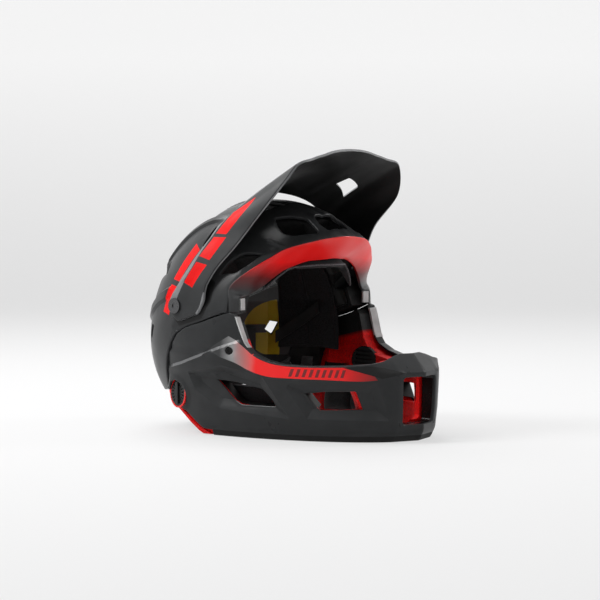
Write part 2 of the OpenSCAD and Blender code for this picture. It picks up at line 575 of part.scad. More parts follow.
// The brow pad follows the edge of the eyeport from temple to temple
brow_base = [[204, 17], [210, 26], [222, 38], [238, 43.5], [302, 43.5], [318, 38], [330, 26], [336, 17]];
brow_pad_el = 9.5;
module brow_pad() on_head() color("#242424")
    hollow_pad([204, 336], [0, brow_pad_el], pad_t, 22, 4, brow_base);
module side_pad(side) on_head() color("#202020") both_ways(side)
    hollow_pad([-8, 34], [-9, 46], side_pad_t, 10, 8);
module nape_pad() on_head() color("#202020") hollow_pad([62, 118], [22, 48], pad_t, 8, 5);

module visor_boss(side) on_head() color("#232323") both_ways(side)
    difference() {
        along_x(pivot, boss_face - boss_depth, boss_face, boss_d);
        along_x(pivot, boss_face - boss_depth + 2, boss_face + 1, screw_core_d + 2 * run_gap);
    }
module visor_screw(side) on_head() color("#55575a") both_ways(side)
    difference() {
        union() {
            along_x(pivot, boss_face - boss_depth + 3, boss_face + 0.1, screw_core_d);
            along_x(pivot, boss_face, lug_out + 0.4, pivot_d);
            along_x(pivot, lug_out + 0.4, lug_out + 2, pivot_head_d);
        }
        translate([lug_out + 1.2, pivot[1], pivot[2]]) rotate([0, 90, 0]) cylinder(h = 3, d = 5, $fn = 6);
    }
module visor_bushing(side) on_head() color("#8b8d90") both_ways(side)
    difference() {
        along_x(pivot, lug_in - 0.3, lug_out + 0.2, bushing_d);
        along_x(pivot, lug_in - 3, lug_out + 3, pivot_d + 2 * run_gap);
    }

// Visor: a sheet between its rear edge and its front edge, stations from the lug to the middle
visor_rear = [[-115, 27, 119], [-115, 28, 126], [-114.4, 24, 140], [-110, 15, 156], [-103, 4, 175],
    [-95, -5, 190], [-82, -7, 205], [-60, -9, 221], [-42, -9.5, 230], [-24, -4, 236], [0, 2, 239]];
visor_front = [[-115, -3, 120], [-115, -8, 127], [-114, -13.5, 143], [-108, -24, 164], [-101.5, -41, 184],
    [-96, -56, 203], [-94, -86, 234], [-76, -102, 263], [-52, -103, 271], [-26, -103, 278], [0, -103, 280]];
visor_cols = 5;
visor_lug = [[31, 122.5], [20, 111.5], [-6.5, 119.5], [-14.5, 133], [-15, 146], [18, 146], [31, 128]];
lug_r = 2;
function visor_lift(x) = [0, 0, 2.5 * x * (1 - x) * 4];
visor_sheet = let (a = both_sides(visor_front), b = both_sides(visor_rear))
    [for (k = [0:visor_cols]) let (s = k / visor_cols) [for (i = [0:len(a) - 1])
        a[i] * (1 - s) + b[i] * s + visor_lift(s) * smooth(90, 50, abs(a[i][0]))]];
visor_vent = [[-68.5, -55], [-51, -60], [-47.4, -46], [-67, -37.5]];
module visor() on_head() color("#47494b")
    difference() {
        union() {
            sheet_solid(visor_sheet, sheet_offset(visor_sheet, visor_t));
            for (s = [-1, 1]) both_ways(s) translate([lug_in, 0, 0]) rotate([90, 0, 90])
                linear_extrude(visor_t) offset(r = lug_r, $fn = 24) offset(delta = -lug_r)
                    polygon([for (p = visor_lug) fit_side(p)]);
        }
        for (s = [-1, 1]) both_ways(s) {
            along_x(pivot, lug_in - 3, lug_out + 6, bushing_d);
            translate([0, 0, 200]) linear_extrude(90)
                polygon([for (p = visor_vent) [fit_x(-p[0]), fit_y(p[1])]]);
        }
    }

// Fit system: the cradle at the nape slides forwards on two pins as the dial turns
guide_d = 9;
guide_pin_d = 5;
guide_x = 18;
guide_z = fit_z(81);
nape_in = shell_rear - hollow_off;
cradle_t = 2.4;
cradle_y = nape_in - 11.7;
guide_gap = 1.2;
pin_in = cradle_travel + 6;
module guide_at(s) translate([s * guide_x, cradle_y + guide_gap, guide_z]) rotate([-90, 0, 0]) children();
module cradle_guides() on_head() color("#2a2a2a") for (s = [-1, 1]) guide_at(s)
    difference() {
        cylinder(h = pin_in + 4, d = guide_d, $fn = 32);
        translate([0, 0, -1]) cylinder(h = pin_in + 2.5, d = guide_pin_d + 2 * run_gap, $fn = 32);
    }
band_r = 84;
band_h = 26;
band_half = 38;
stem_w = 24;
dial_z = dial_d / 2 + 0.5;
dial_shaft_d = 7;
dial_h = 8;
module cradle_band() translate([0, cradle_y - band_r, guide_z - band_h / 2]) rotate([0, 0, 90 - band_half])
    rotate_extrude(angle = 2 * band_half, $fn = 120)
        translate([band_r - cradle_t, 0]) square([cradle_t, band_h]);
module fit_cradle() on_head() color("#262626")
    difference() {
        union() {
            cradle_band();
            translate([-stem_w / 2, cradle_y - cradle_t - 0.9, 0]) cube([stem_w, cradle_t, guide_z + 2]);
            for (s = [-1, 1])
                translate([s * guide_x, cradle_y - cradle_t - guide_gap, guide_z]) rotate([-90, 0, 0]) {
                cylinder(h = cradle_t + 2 * guide_gap + pin_in, d = guide_pin_d, $fn = 32);
                cylinder(h = cradle_t + 1.6, d = guide_pin_d + 5, $fn = 32);
            }
        }
        translate([0, cradle_y - 20, dial_z]) rotate([-90, 0, 0])
            cylinder(h = 40, d = dial_shaft_d + 2 * run_gap, $fn = 40);
        for (s = [-1, 0, 1]) translate([s * 7, cradle_y - 20, dial_d + 14]) rotate([-90, 0, 0])
            cylinder(h = 40, d = 4, $fn = 24);
    }
grips = 18;
module fit_dial() on_head() color("#303030") translate([0, cradle_y - 0.9 + 0.3, dial_z]) rotate([-90, 0, 0])
    difference() {
        union() {
            cylinder(h = dial_h, d = dial_d, $fn = 60);
            translate([0, 0, -cradle_t - 1.2]) cylinder(h = cradle_t + 2, d = dial_shaft_d, $fn = 40);
            translate([0, 0, -cradle_t - 2.2]) cylinder(h = 1.5, d = dial_shaft_d + 4, $fn = 40);
        }
        for (k = [0:grips - 1]) rotate([0, 0, k * 360 / grips]) translate([dial_d / 2 + 0.5, 0, 1.5])
            cylinder(h = dial_h, d = 2.4, $fn = 16);
        translate([0, 0, dial_h - 1]) cylinder(h = 2, d = dial_d - 9, $fn = 48);
    }
belt_t = 1.2;
belt_gap = 0.9;
belt_in = pad_seat + pad_rim + side_pad_t + belt_gap;
module fit_belt(side) {
    n = 10;
    half_el = belt_w / 2 / ((crown_h - hollow_off) * PI / 180);
    function at(u, edge, off) = hollow(2 + 34 * u, 16 - 19 * u + edge * half_el, off + belt_in);
    function row(edge, off) = [for (j = [0:n]) at(j / n, edge, off)];
    on_head() color("#242424") both_ways(side)
        sheet_solid([row(-1, 0), row(0, 0), row(1, 0)], [row(-1, belt_t), row(0, belt_t), row(1, belt_t)]);
}

// Edge trim under the foam at the back of the neck
neck_h = 3;
function foot_at(y) = lookup(y, foam_foot);
module neck_trim() {
    azs = [38:4:142];
    function at(az, low, out) = let (
        y = shell_rear * sin(az) * 0.93, z = foot_at(y) - seat_gap - (low ? neck_h : 0),
        d = dome(az, asin((z - base_wide) / low_h), shell_t + 1.2),
        h = hollow(az, asin((z - base_wide) / 100), -1))
        [out ? d[0] : h[0], out ? d[1] : h[1], fit_z(z)];
    on_head() color("#181818")
        sheet_solid([for (low = [true, false]) [for (az = azs) at(az, low, true)]],
            [for (low = [true, false]) [for (az = azs) at(az, low, false)]]);
}

// Chin strap: two legs a side riveted to the wings, one run under the chin and a buckle
anchor_d = 11;
anchor_t = 2.2;
front_anchor = [14, -18.5];
rear_anchor = [29, -21];
anchor_seat = seat_gap + 0.9;
module on_hollow(az, el, off) {
    p = hollow(az, el, off);
    n = cross(hollow(az + 1, el, off) - p, hollow(az, el + 1, off) - p);
    translate(p) rotate([0, acos(-n[2] / norm(n)), atan2(-n[1], -n[0])]) children();
}
module strap_anchors() on_head() color("#8f9193") for (s = [-1, 1]) both_ways(s)
    for (a = [front_anchor, rear_anchor]) on_hollow(a[0], a[1], anchor_seat)
        cylinder(h = anchor_t, d = anchor_d, $fn = 32);
web_t = 1.5;
strap_in = anchor_seat + anchor_t + 8 * seat_gap;
divider = fit([58, 12, 34]);
strap_end = [18.5, -46, 9.6];
module webbing(path, w) {
    rows = [for (s = [-1, 1]) [for (p = path) p + w * s * web_w / 2]];
    sheet_solid(rows, sheet_offset(rows, web_t));
}
module chin_strap(side) on_head() color("#1a1a1a") both_ways(side) {
    a = hollow(front_anchor[0], front_anchor[1], strap_in);
    b = hollow(rear_anchor[0], rear_anchor[1], strap_in + 0.8);
    webbing([a + [0.6, -1, 7], a, (a + divider) / 2 + [1, 0, 0], divider, fit([51, -5, 22]),
        fit([38, -28, 14]), fit([27, -42, 10.8]), strap_end], [0, 1, 0]);
    webbing([b + [0.4, 0, 7], b, (b + divider) / 2 - [1, 0, 0], divider + [-3.2, 4, 3]], [0, 0.9, -0.44]);
}
module strap_buckle() on_head() color("#101010") {
    for (s = [-1, 1]) hull() for (x = [0.2 + 3, 15], y = [-9, 9])
        translate([s * x, strap_end[1] + y, strap_end[2] - 3]) cylinder(h = 6, r = 3, $fn = 20);
}

outer_shell();
eps_liner();
brow_rim();
slip_liner();
crown_pad();
brow_pad();
side_pad(-1);  // side_pad_right
side_pad(1);  // side_pad_left
nape_pad();
eyeport_strip(-1);  // eyeport_strip_right
eyeport_strip(1);  // eyeport_strip_left
visor_boss(-1);  // visor_boss_right
visor_boss(1);  // visor_boss_left
visor_screw(-1);  // visor_screw_right
visor_screw(1);  // visor_screw_left
latch_keeper(-1);  // latch_keeper_right
latch_keeper(1);  // latch_keeper_left
neck_trim();
strap_anchors();
chin_strap(-1);  // chin_strap_right
chin_strap(1);  // chin_strap_left
strap_buckle();
fit_belt(-1);  // fit_belt_right
fit_belt(1);  // fit_belt_left
cradle_guides();
fit_cradle();
fit_dial();
chin_shell();
chin_liner();
chin_trim();
mouth_frame();
rim_strip(-1);  // rim_strip_right
rim_strip(1);  // rim_strip_left
cheek_pad(-1);  // cheek_pad_right
cheek_pad(1);  // cheek_pad_left
cheek_duct(-1);  // cheek_duct_right
cheek_duct(1);  // cheek_duct_left
bar_plug(-1);  // bar_plug_right
bar_plug(1);  // bar_plug_left
latch_housing(-1);  // latch_housing_right
latch_housing(1);  // latch_housing_left
latch_knob(-1);  // latch_knob_right
latch_knob(1);  // latch_knob_left
visor();
visor_bushing(-1);  // visor_bushing_right
visor_bushing(1);  // visor_bushing_left
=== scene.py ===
import math

import bpy
import bmesh
import numpy as np
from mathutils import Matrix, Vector, geometry


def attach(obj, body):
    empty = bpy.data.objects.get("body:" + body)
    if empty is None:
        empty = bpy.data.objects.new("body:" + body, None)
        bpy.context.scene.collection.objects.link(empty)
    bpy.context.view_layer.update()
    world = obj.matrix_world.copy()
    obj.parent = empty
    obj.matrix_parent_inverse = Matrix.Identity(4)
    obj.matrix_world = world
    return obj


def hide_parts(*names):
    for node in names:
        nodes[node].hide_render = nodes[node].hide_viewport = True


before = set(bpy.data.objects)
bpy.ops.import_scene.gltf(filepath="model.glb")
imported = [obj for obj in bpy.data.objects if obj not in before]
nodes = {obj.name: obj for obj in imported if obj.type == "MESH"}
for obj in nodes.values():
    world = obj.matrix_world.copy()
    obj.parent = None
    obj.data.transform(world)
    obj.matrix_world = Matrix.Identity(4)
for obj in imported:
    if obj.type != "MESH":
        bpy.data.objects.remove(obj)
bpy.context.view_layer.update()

# Lengths are millimetres and become metres as a mesh is made; materials, lights and backdrop use metres.
# +X is the wearer's left, -Y the front and +Z up, and outlines are drawn in the head's own frame.
MM = 0.001
HEAD_Y = 36.0
HALF_W, FRONT, REAR, CROWN, WIDE_Z, LOW_H = 116.0, 148.0, 127.0, 139.0, 90.0, 112.0
SHELL_T, RIM_T, VISOR_T, BAR_T, BAR_FOAM_T = 3.0, 3.0, 2.6, 3.0, 17.0
FOAM_T, SEAT_GAP, SLIP_T = 24.0, 0.3, 1.0


# Small helpers

def smooth(a, b, x):
    """0 at a and 1 at b, with a soft start and end."""
    t = np.clip((x - a) / (b - a), 0.0, 1.0)
    return t * t * (3.0 - 2.0 * t)


def soft_ramp(x, width):
    """0 to 1 over the width, nearly straight."""
    t = np.clip(x / width, 0, 1)
    return 0.85 * t + 0.15 * t * t * (3 - 2 * t)


def along(table, x):
    """The value at x in a table of (x, value) rows."""
    table = np.asarray(table, float)
    return np.interp(x, table[:, 0], table[:, 1])


def unit(v):
    return v / np.maximum(np.linalg.norm(v, axis=-1, keepdims=True), 1e-9)


def walked(line):
    """The length walked along a polyline up to each of its points."""
    return np.concatenate([[0], np.cumsum(np.linalg.norm(np.diff(line, axis=0), axis=1))])


def mirrored(points):
    return np.asarray(points, float) * (-1, 1, 1)


def both(poly):
    """A flat outline on the right side, and its mirror image on the left."""
    poly = np.asarray(poly, float)
    return [poly, poly * (-1, 1)]


def marked(poly, look):
    """An outline and its mirror image as regions of one look."""
    return [(side, look) for side in both(poly)]


def looped(poly):
    """A closed outline as a line that comes back to its start."""
    return np.vstack([poly, poly[:1]])


def inside(poly, pts):
    """Which of the points lie inside a closed polygon, by the even-odd rule."""
    poly, pts = np.asarray(poly, float), np.asarray(pts, float)
    x, y = pts[:, 0][:, None], pts[:, 1][:, None]
    a, b = poly, np.roll(poly, -1, 0)
    cross = (a[:, 1] > y) != (b[:, 1] > y)
    rise = np.where(np.abs(b[:, 1] - a[:, 1]) < 1e-12, 1e-12, b[:, 1] - a[:, 1])
    hit = x < (b[:, 0] - a[:, 0]) * (y - a[:, 1]) / rise + a[:, 0]
    return (np.sum(cross & hit, 1) % 2) == 1


def within(outline, holes, pts):
    """Which of the points lie inside the outline and outside all holes."""
    found = inside(outline, pts)
    for h in holes:
        found &= ~inside(h, pts)
    return found


def distance(line, pts, closed=True):
    """Distance of each point from a polyline."""
    line, pts = np.asarray(line, float), np.asarray(pts, float)
    a = line if closed else line[:-1]
    b = np.roll(line, -1, 0) if closed else line[1:]
    best = np.full(len(pts), 1e9)
    for p, q in zip(a, b):
        d = q - p
        t = np.clip(((pts - p) @ d) / max(d @ d, 1e-12), 0, 1)
        best = np.minimum(best, np.linalg.norm(pts - p - t[:, None] * d, axis=1))
    return best


def signed_distance(poly, pts):
    """Distance of each point from a polygon's edge, negative outside it."""
    d = distance(poly, pts)
    return np.where(inside(poly, pts), d, -d)


def densify(line, step, closed=True):
    line = np.asarray(line, float)
    out = []
    ends = np.roll(line, -1, 0) if closed else line[1:]
    for p, q in zip(line, ends):
        n = max(1, int(math.ceil(np.linalg.norm(q - p) / step)))
        out += [p + (q - p) * k / n for k in range(n)]
    if not closed:
        out.append(line[-1])
    return np.array(out)


def rounded(poly, r, steps=4):
    """A polygon with its corners cut to arcs of about radius r."""
    poly = np.asarray(poly, float)
    out = []
    for i, p in enumerate(poly):
        a, b = poly[i - 1] - p, poly[(i + 1) % len(poly)] - p
        la, lb = np.linalg.norm(a), np.linalg.norm(b)
        cut = min(r, 0.45 * la, 0.45 * lb)
        s, e = p + a / la * cut, p + b / lb * cut
        for k in range(steps + 1):
            t = k / steps
            out.append((1 - t) ** 2 * s + 2 * t * (1 - t) * p + t * t * e)
    return np.array(out)


def circle(centre, r, n):
    angles = [2 * math.pi * k / n for k in range(n)]
    return np.array([(centre[0] + r * math.cos(a), centre[1] + r * math.sin(a)) for a in angles])


def spline(points, per=16):
    """Smooth samples through the stations, and the station number of each."""
    p = np.asarray(points, float)
    q = np.vstack([2 * p[0] - p[1], p, 2 * p[-1] - p[-2]])
    out, at = [], []
    for i in range(len(p) - 1):
        a, b, c, d = q[i:i + 4]
        for k in range(per):
            t = k / per
            curve = (2 * a - 5 * b + 4 * c - d) * t * t + (3 * b - a - 3 * c + d) * t ** 3
            out.append(0.5 * (2 * b + (c - a) * t + curve))
            at.append(i + t)
    return np.array(out + [p[-1]]), np.array(at + [len(p) - 1.0])


def curve_through(points, count):
    """Points spaced along a smooth curve through the given ones."""
    line, _ = spline(points, 12)
    s = walked(line)
    want = np.linspace(0, s[-1], count)
    return np.stack([np.interp(want, s, column) for column in line.T], 1)


def offset_line(line, by):
    """An open polyline moved to its left by a distance."""
    d = unit(np.gradient(np.asarray(line, float), axis=0))
    return line + np.stack([-d[:, 1], d[:, 0]], 1) * by


def inset(poly, d):
    """A polygon whose edges are moved inwards by d."""
    poly = np.asarray(poly, float)
    after = np.roll(poly, -1, 0)
    turn = np.sign(np.sum(poly[:, 0] * after[:, 1] - after[:, 0] * poly[:, 1]))
    edge = unit(after - poly)
    inward = np.stack([-edge[:, 1], edge[:, 0]], 1) * turn
    corners = [np.linalg.solve(inward[[i - 1, i]], (d, d)) for i in range(len(poly))]
    return poly + np.array(corners)


def two_halves(line):
    """A line from the front's middle round the right to the back's middle, closed by its mirror."""
    line = np.array(line, float)
    line[0, 0] = line[-1, 0] = 0.0
    return np.vstack([line, (line * (-1, 1))[::-1][1:-1]])


def both_sides(table):
    """A table in which each name that ends in _ now stands for the right and the left."""
    return {name + side: value for name, value in table.items()
            for side in (("right", "left") if name.endswith("_") else ("",))}


def add_object(name, data):
    obj = bpy.data.objects.new(name, data)
    bpy.context.scene.collection.objects.link(obj)
    return obj


def make_object(name, verts, faces, materials, body, smooth_angle, index=None):
    mesh = bpy.data.meshes.new(name)
    mesh.from_pydata([tuple(v) for v in np.asarray(verts, float) * MM + (0, HEAD_Y * MM, 0)], [], faces)
    for m in materials:
        mesh.materials.append(m)
    if index:
        mesh.polygons.foreach_set("material_index", np.asarray(index, np.int32))
    mesh.validate()
    mesh.shade_smooth()
    mesh.set_sharp_from_angle(angle=math.radians(smooth_angle))
    obj = add_object(name, mesh)
    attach(obj, body)
    return obj


def face_outwards(obj):
    bm = bmesh.new()
    bm.from_mesh(obj.data)
    bmesh.ops.recalc_face_normals(bm, faces=bm.faces)
    bm.to_mesh(obj.data)
    bm.free()


# Shader nodes

def wire(nt, node, inputs):
    """Set a node's inputs to values, or link other nodes' outputs to them."""
    for key, value in inputs.items():
        if isinstance(value, bpy.types.NodeSocket):
            nt.links.new(value, node.inputs[key])
        else:
            node.inputs[key].default_value = value
    return node


def add_node(nt, kind, inputs):
    return wire(nt, nt.nodes.new(kind), inputs)


def object_place(nt):
    return nt.nodes.new("ShaderNodeTexCoord").outputs["Object"]


def coords(nt, scale=(1, 1, 1)):
    return add_node(nt, "ShaderNodeMapping", {"Vector": object_place(nt), "Scale": scale}).outputs["Vector"]


def xyz(nt, vector):
    return add_node(nt, "ShaderNodeSeparateXYZ", {0: vector}).outputs


def noise(nt, vector, scale, detail=3.0):
    keys = {"Vector": vector, "Scale": scale, "Detail": detail}
    return add_node(nt, "ShaderNodeTexNoise", keys).outputs["Fac"]


def cells(nt, vector, scale, feature="F1"):
    n = nt.nodes.new("ShaderNodeTexVoronoi")
    n.feature = feature
    return wire(nt, n, {"Vector": vector, "Scale": scale}).outputs


def ramp(nt, value, stops):
    r = nt.nodes.new("ShaderNodeValToRGB")
    while len(r.color_ramp.elements) < len(stops):
        r.color_ramp.elements.new(0.5)
    for e, (at, colour) in zip(r.color_ramp.elements, stops):
        e.position = at
        e.color = (*colour, 1)
    return wire(nt, r, {0: value}).outputs[0]


def to_range(nt, value, a, b, lo, hi):
    """The range from a to b moved onto the range from lo to hi, and held at its ends."""
    keys = {"Value": value, "From Min": a, "From Max": b, "To Min": lo, "To Max": hi}
    return add_node(nt, "ShaderNodeMapRange", keys).outputs["Result"]


def math_node(nt, op, a, b=0.0):
    n = nt.nodes.new("ShaderNodeMath")
    n.operation = op
    return wire(nt, n, {0: a, 1: b}).outputs[0]


def product(nt, value, *others):
    for other in others:
        value = math_node(nt, "MULTIPLY", value, other)
    return value


def band(nt, value, lo, hi, blur=0.0005):
    """1 where the value lies between lo and hi, with soft edges."""
    up = to_range(nt, value, lo - blur, lo + blur, 0.0, 1.0)
    down = to_range(nt, value, hi - blur, hi + blur, 1.0, 0.0)
    return product(nt, up, down)


def mix_colours(nt, share, a, b, blend="MIX"):
    n = nt.nodes.new("ShaderNodeMix")
    n.data_type = "RGBA"
    n.blend_type = blend
    return wire(nt, n, {"Factor": share, 6: a, 7: b}).outputs[2]


def mix_shaders(nt, share, a, b, output):
    mix = add_node(nt, "ShaderNodeMixShader", {0: share, 1: a.outputs[0], 2: b.outputs[0]})
    wire(nt, output, {"Surface": mix.outputs[0]})


def seen_ray(nt):
    """1 for camera, glossy and transmission rays, and 0 for the light that falls on the object."""
    path = nt.nodes.new("ShaderNodeLightPath").outputs
    total = math_node(nt, "MAXIMUM", path["Is Camera Ray"], path["Is Glossy Ray"])
    return math_node(nt, "MAXIMUM", total, path["Is Transmission Ray"])


def new_material(name, colour, rough, **sockets):
    """A material, its nodes and its shader; sockets are more of the shader's inputs, with _ for a space."""
    m = bpy.data.materials.new(name)
    m.use_nodes = True
    b = m.node_tree.nodes["Principled BSDF"]
    wire(m.node_tree, b, {"Base Color": (*colour, 1), "Roughness": rough})
    wire(m.node_tree, b, {key.replace("_", " "): value for key, value in sockets.items()})
    return m, m.node_tree, b


# Camera, light and floor

CAM_PIXELS = 600
CAM_FOCAL_PX = 2400.0
CAM_DISTANCE = 2400.0
CAM_HEIGHT = 260.0
SENSOR_W = 36.0
VIEW_DIR = np.array([0.743, 0.669, 0.0])
VIEW_CENTRE = np.array([0.0, HEAD_Y - 20, CAM_HEIGHT])
AIM_PX = (286.4, 168.5)


def point_at(obj, place, direction):
    """Put a camera or lamp at a place, looking in a direction."""
    obj.location = Vector(place)
    obj.rotation_euler = Vector(direction).to_track_quat("-Z", "Y").to_euler()


def make_camera():
    cam = bpy.data.cameras.new("camera")
    cam.sensor_width = SENSOR_W
    cam.lens = SENSOR_W * CAM_FOCAL_PX / CAM_PIXELS
    cam.clip_start, cam.clip_end = 0.05, 30.0
    turn, pitch = (math.atan((px - CAM_PIXELS / 2) / CAM_FOCAL_PX) for px in AIM_PX)
    heading = math.atan2(VIEW_DIR[1], VIEW_DIR[0]) + turn
    look = (math.cos(heading) * math.cos(pitch), math.sin(heading) * math.cos(pitch), math.sin(pitch))
    obj = add_object("camera", cam)
    point_at(obj, (VIEW_CENTRE - VIEW_DIR * CAM_DISTANCE) * MM, look)
    bpy.context.scene.camera = obj


LIGHT_AIM = Vector((0.0, 0.0, 0.12))
LIGHTS = {
    "top_light": ((0.3, 0.6, 1.6), (1.2, 1.2), 32),
    "key_light": ((-0.6, -2.0, 1.5), (1.2, 1.2), 5),
    "left_rim": ((-1.2, 0.9, 1.8), (0.6, 1.2), 44),
    "right_rim": ((1.6, -1.1, 1.0), (0.5, 1.2), 16),
}


def make_lights():
    for name, (place, size, power) in LIGHTS.items():
        lamp = bpy.data.lights.new(name, "AREA")
        lamp.shape = "RECTANGLE"
        lamp.size, lamp.size_y = size
        lamp.energy = power
        point_at(add_object(name, lamp), place, LIGHT_AIM - Vector(place))


SKY_LIGHT, SKY_SEEN = 0.07, (0.91, 0.91, 0.915, 1)
FLOOR_COLOUR, FLOOR_GLOW, GLOW_STRENGTH = (0.74, 0.74, 0.745), 0.72, 1.2
FLOOR_LOW, FLOOR_HIGH = (0.71, 0.71, 0.71), (0.95, 0.95, 0.95)
FLOOR_DROP = 0.0004


def make_world():
    world = bpy.data.worlds.new("world")
    bpy.context.scene.world = world
    world.use_nodes = True
    nt = world.node_tree
    nt.nodes.clear()
    dim = add_node(nt, "ShaderNodeBackground", {"Strength": SKY_LIGHT})
    shown = add_node(nt, "ShaderNodeBackground", {"Color": SKY_SEEN})
    mix_shaders(nt, seen_ray(nt), dim, shown, nt.nodes.new("ShaderNodeOutputWorld"))


def floor_material():
    """Pale paper: lit and shadowed by the lamps, with a glow of its own that only seen rays meet."""
    m, nt, b = new_material("floor", FLOOR_COLOUR, 0.75, Specular_IOR_Level=0.2)
    # The glow is darker at the floor and paler up the backdrop: painted light that grows with height.
    height = to_range(nt, xyz(nt, object_place(nt))["Z"], 0.0, 0.5, 0.0, 1.0)
    colour = ramp(nt, height, [(0, FLOOR_LOW), (1, FLOOR_HIGH)])
    glow = add_node(nt, "ShaderNodeEmission", {"Color": colour, "Strength": GLOW_STRENGTH})
    mix_shaders(nt, product(nt, seen_ray(nt), FLOOR_GLOW), b, glow, nt.nodes["Material Output"])
    return m


def make_stage():
    """Lamps, sky and a floor that curves up into a backdrop behind the object."""
    bpy.context.scene.view_settings.view_transform = "Standard"
    make_world()
    half, depth, height, bend, n = 9.0, 3.2, 5.0, 1.2, 14
    turns = [math.pi / 2 * k / n for k in range(n + 1)]
    profile = [(depth - bend + bend * math.sin(a), bend - bend * math.cos(a)) for a in turns]
    profile = [(-6.0, 0.0)] + profile + [(depth, height)]
    away = Vector(VIEW_DIR)
    side = Vector((VIEW_DIR[1], -VIEW_DIR[0], 0)) * half
    verts, faces = [], []
    for k, (s, z) in enumerate(profile):
        middle = away * s + Vector((0, 0, z - FLOOR_DROP))
        verts += [tuple(middle - side), tuple(middle + side)]
        if k:
            faces.append((2 * k - 2, 2 * k - 1, 2 * k + 1, 2 * k))
    mesh = bpy.data.meshes.new("backdrop")
    mesh.from_pydata(verts, [], faces)
    mesh.materials.append(floor_material())
    mesh.shade_smooth()
    floor = add_object("backdrop", mesh)
    make_lights()


# Materials

def shaded(colour, k):
    return tuple(min(1.0, c * k) for c in colour)


def tint(nt, b, value, colour, dark, light, lo=0.3, hi=0.7):
    """A base colour that runs between two shades as the value goes from lo to hi."""
    wire(nt, b, {"Base Color": ramp(nt, value, [(lo, shaded(colour, dark)), (hi, shaded(colour, light))])})


def uneven(nt, b, value, rough, less, more):
    """Roughness that grows with the value, from rough - less to rough + more."""
    wire(nt, b, {"Roughness": to_range(nt, value, 0.3, 0.7, rough - less, rough + more)})


def bump(nt, b, height, strength, dist):
    n = add_node(nt, "ShaderNodeBump", {"Strength": strength, "Distance": dist, "Height": height})
    wire(nt, b, {"Normal": n.outputs["Normal"]})


def paint_finish(nt, b, v, rough):
    """Soft changes of gloss, and fine orange peel."""
    uneven(nt, b, noise(nt, v, 35.0), rough, 0.05, 0.07)
    bump(nt, b, noise(nt, v, 2600.0, 2.0), 0.08, 0.0002)


def painted(name, colour, rough=0.42, spread=0.12, shine=0.4):
    """Matt paint with soft mottling in its colour."""
    m, nt, b = new_material(name, colour, rough, Specular_IOR_Level=shine)
    v = coords(nt)
    tint(nt, b, noise(nt, v, 60.0, 4.0), colour, 1 - spread, 1 + spread)
    paint_finish(nt, b, v, rough)
    return m


def graded_paint(name, axis, stops, rough=0.36):
    """Paint whose colour runs from one stop to the next along an axis; stops are (place in metres, colour).
    """
    m, nt, b = new_material(name, stops[-1][1], rough, Specular_IOR_Level=0.4)
    v = coords(nt)
    lo, hi = stops[0][0], stops[-1][0]
    wander = to_range(nt, noise(nt, v, 55.0, 2.0), 0.3, 0.7, -0.0012, 0.0012)
    share = to_range(nt, math_node(nt, "ADD", xyz(nt, v)[axis], wander), lo, hi, 0.0, 1.0)
    wire(nt, b, {"Base Color": ramp(nt, share, [((at - lo) / (hi - lo), c) for at, c in stops])})
    paint_finish(nt, b, v, rough)
    return m


BEAD_SCALE = 330.0


def foam(name, colour, rough=0.6):
    """Moulded bead foam: round cells of about 3 mm with dark seams between them."""
    m, nt, b = new_material(name, colour, rough, Specular_IOR_Level=0.2)
    v = coords(nt)
    to_edge = cells(nt, v, BEAD_SCALE, "DISTANCE_TO_EDGE")["Distance"]
    tones = [(0.0, shaded(colour, 0.82)), (1.0, shaded(colour, 1.12))]
    beads = ramp(nt, cells(nt, v, BEAD_SCALE)["Color"], tones)
    seams = ramp(nt, to_edge, [(0.0, (0.6, 0.6, 0.6)), (0.08, (1, 1, 1))])
    wire(nt, b, {"Base Color": mix_colours(nt, 1.0, beads, seams, "MULTIPLY")})
    bump(nt, b, ramp(nt, to_edge, [(0.0, (0, 0, 0)), (0.15, (1, 1, 1))]), 0.35, 0.0004)
    return m


def split_foam(name, low, high, level, slope, blur=0.002):
    """Bead foam in the low colour, with the high colour above a sloping plane and, as painted shade, round
    the side vents.
    """
    m = foam(name, low)
    nt = m.node_tree
    b = nt.nodes["Principled BSDF"]
    place = xyz(nt, coords(nt))
    height = math_node(nt, "ADD", place["Z"], product(nt, place["Y"], slope))
    at_side = band(nt, math_node(nt, "ABSOLUTE", place["X"]), 0.086, 1.0)
    painted_shade_at_vents = product(nt, at_side, band(nt, place["Y"], -1.0, 0.045), band(nt, place["Z"], 0.022, 0.060))
    share = math_node(nt, "MAXIMUM", to_range(nt, height, level - blur, level + blur, 0.0, 1.0), painted_shade_at_vents)
    beads = b.inputs["Base Color"].links[0].from_socket
    wire(nt, b, {"Base Color": mix_colours(nt, share, beads, (*high, 1))})
    return m


def slip_sheet(name, rough=0.4):
    """Moulded sheet, black with a notched round yellow field on each side behind the ear; the black stands
    partly for the black pads over the sheet and partly for painted shade.
    """
    black, yellow = (0.006, 0.006, 0.006), (0.46, 0.34, 0.0)
    centre_y, centre_z, radius = 0.087, 0.0926, 0.031
    m, nt, b = new_material(name, black, rough)
    v = coords(nt)
    place = xyz(nt, v)
    away_y = math_node(nt, "SUBTRACT", place["Y"], centre_y)
    away_z = math_node(nt, "SUBTRACT", place["Z"], centre_z)
    square = math_node(nt, "ADD", product(nt, away_y, away_y), product(nt, away_z, away_z))
    in_circle = band(nt, math_node(nt, "SQRT", square), -1.0, radius)
    disc = product(nt, in_circle, band(nt, place["Y"], 0.090, 1.0))
    notch = product(nt, band(nt, place["Y"], 0.102, 1.0), band(nt, place["Z"], 0.0885, 0.0975))
    share = product(nt, disc, math_node(nt, "SUBTRACT", 1.0, notch))
    wire(nt, b, {"Base Color": ramp(nt, share, [(0.3, black), (0.7, yellow)])})
    bump(nt, b, noise(nt, v, 1500.0, 2.0), 0.06, 0.0003)
    return m


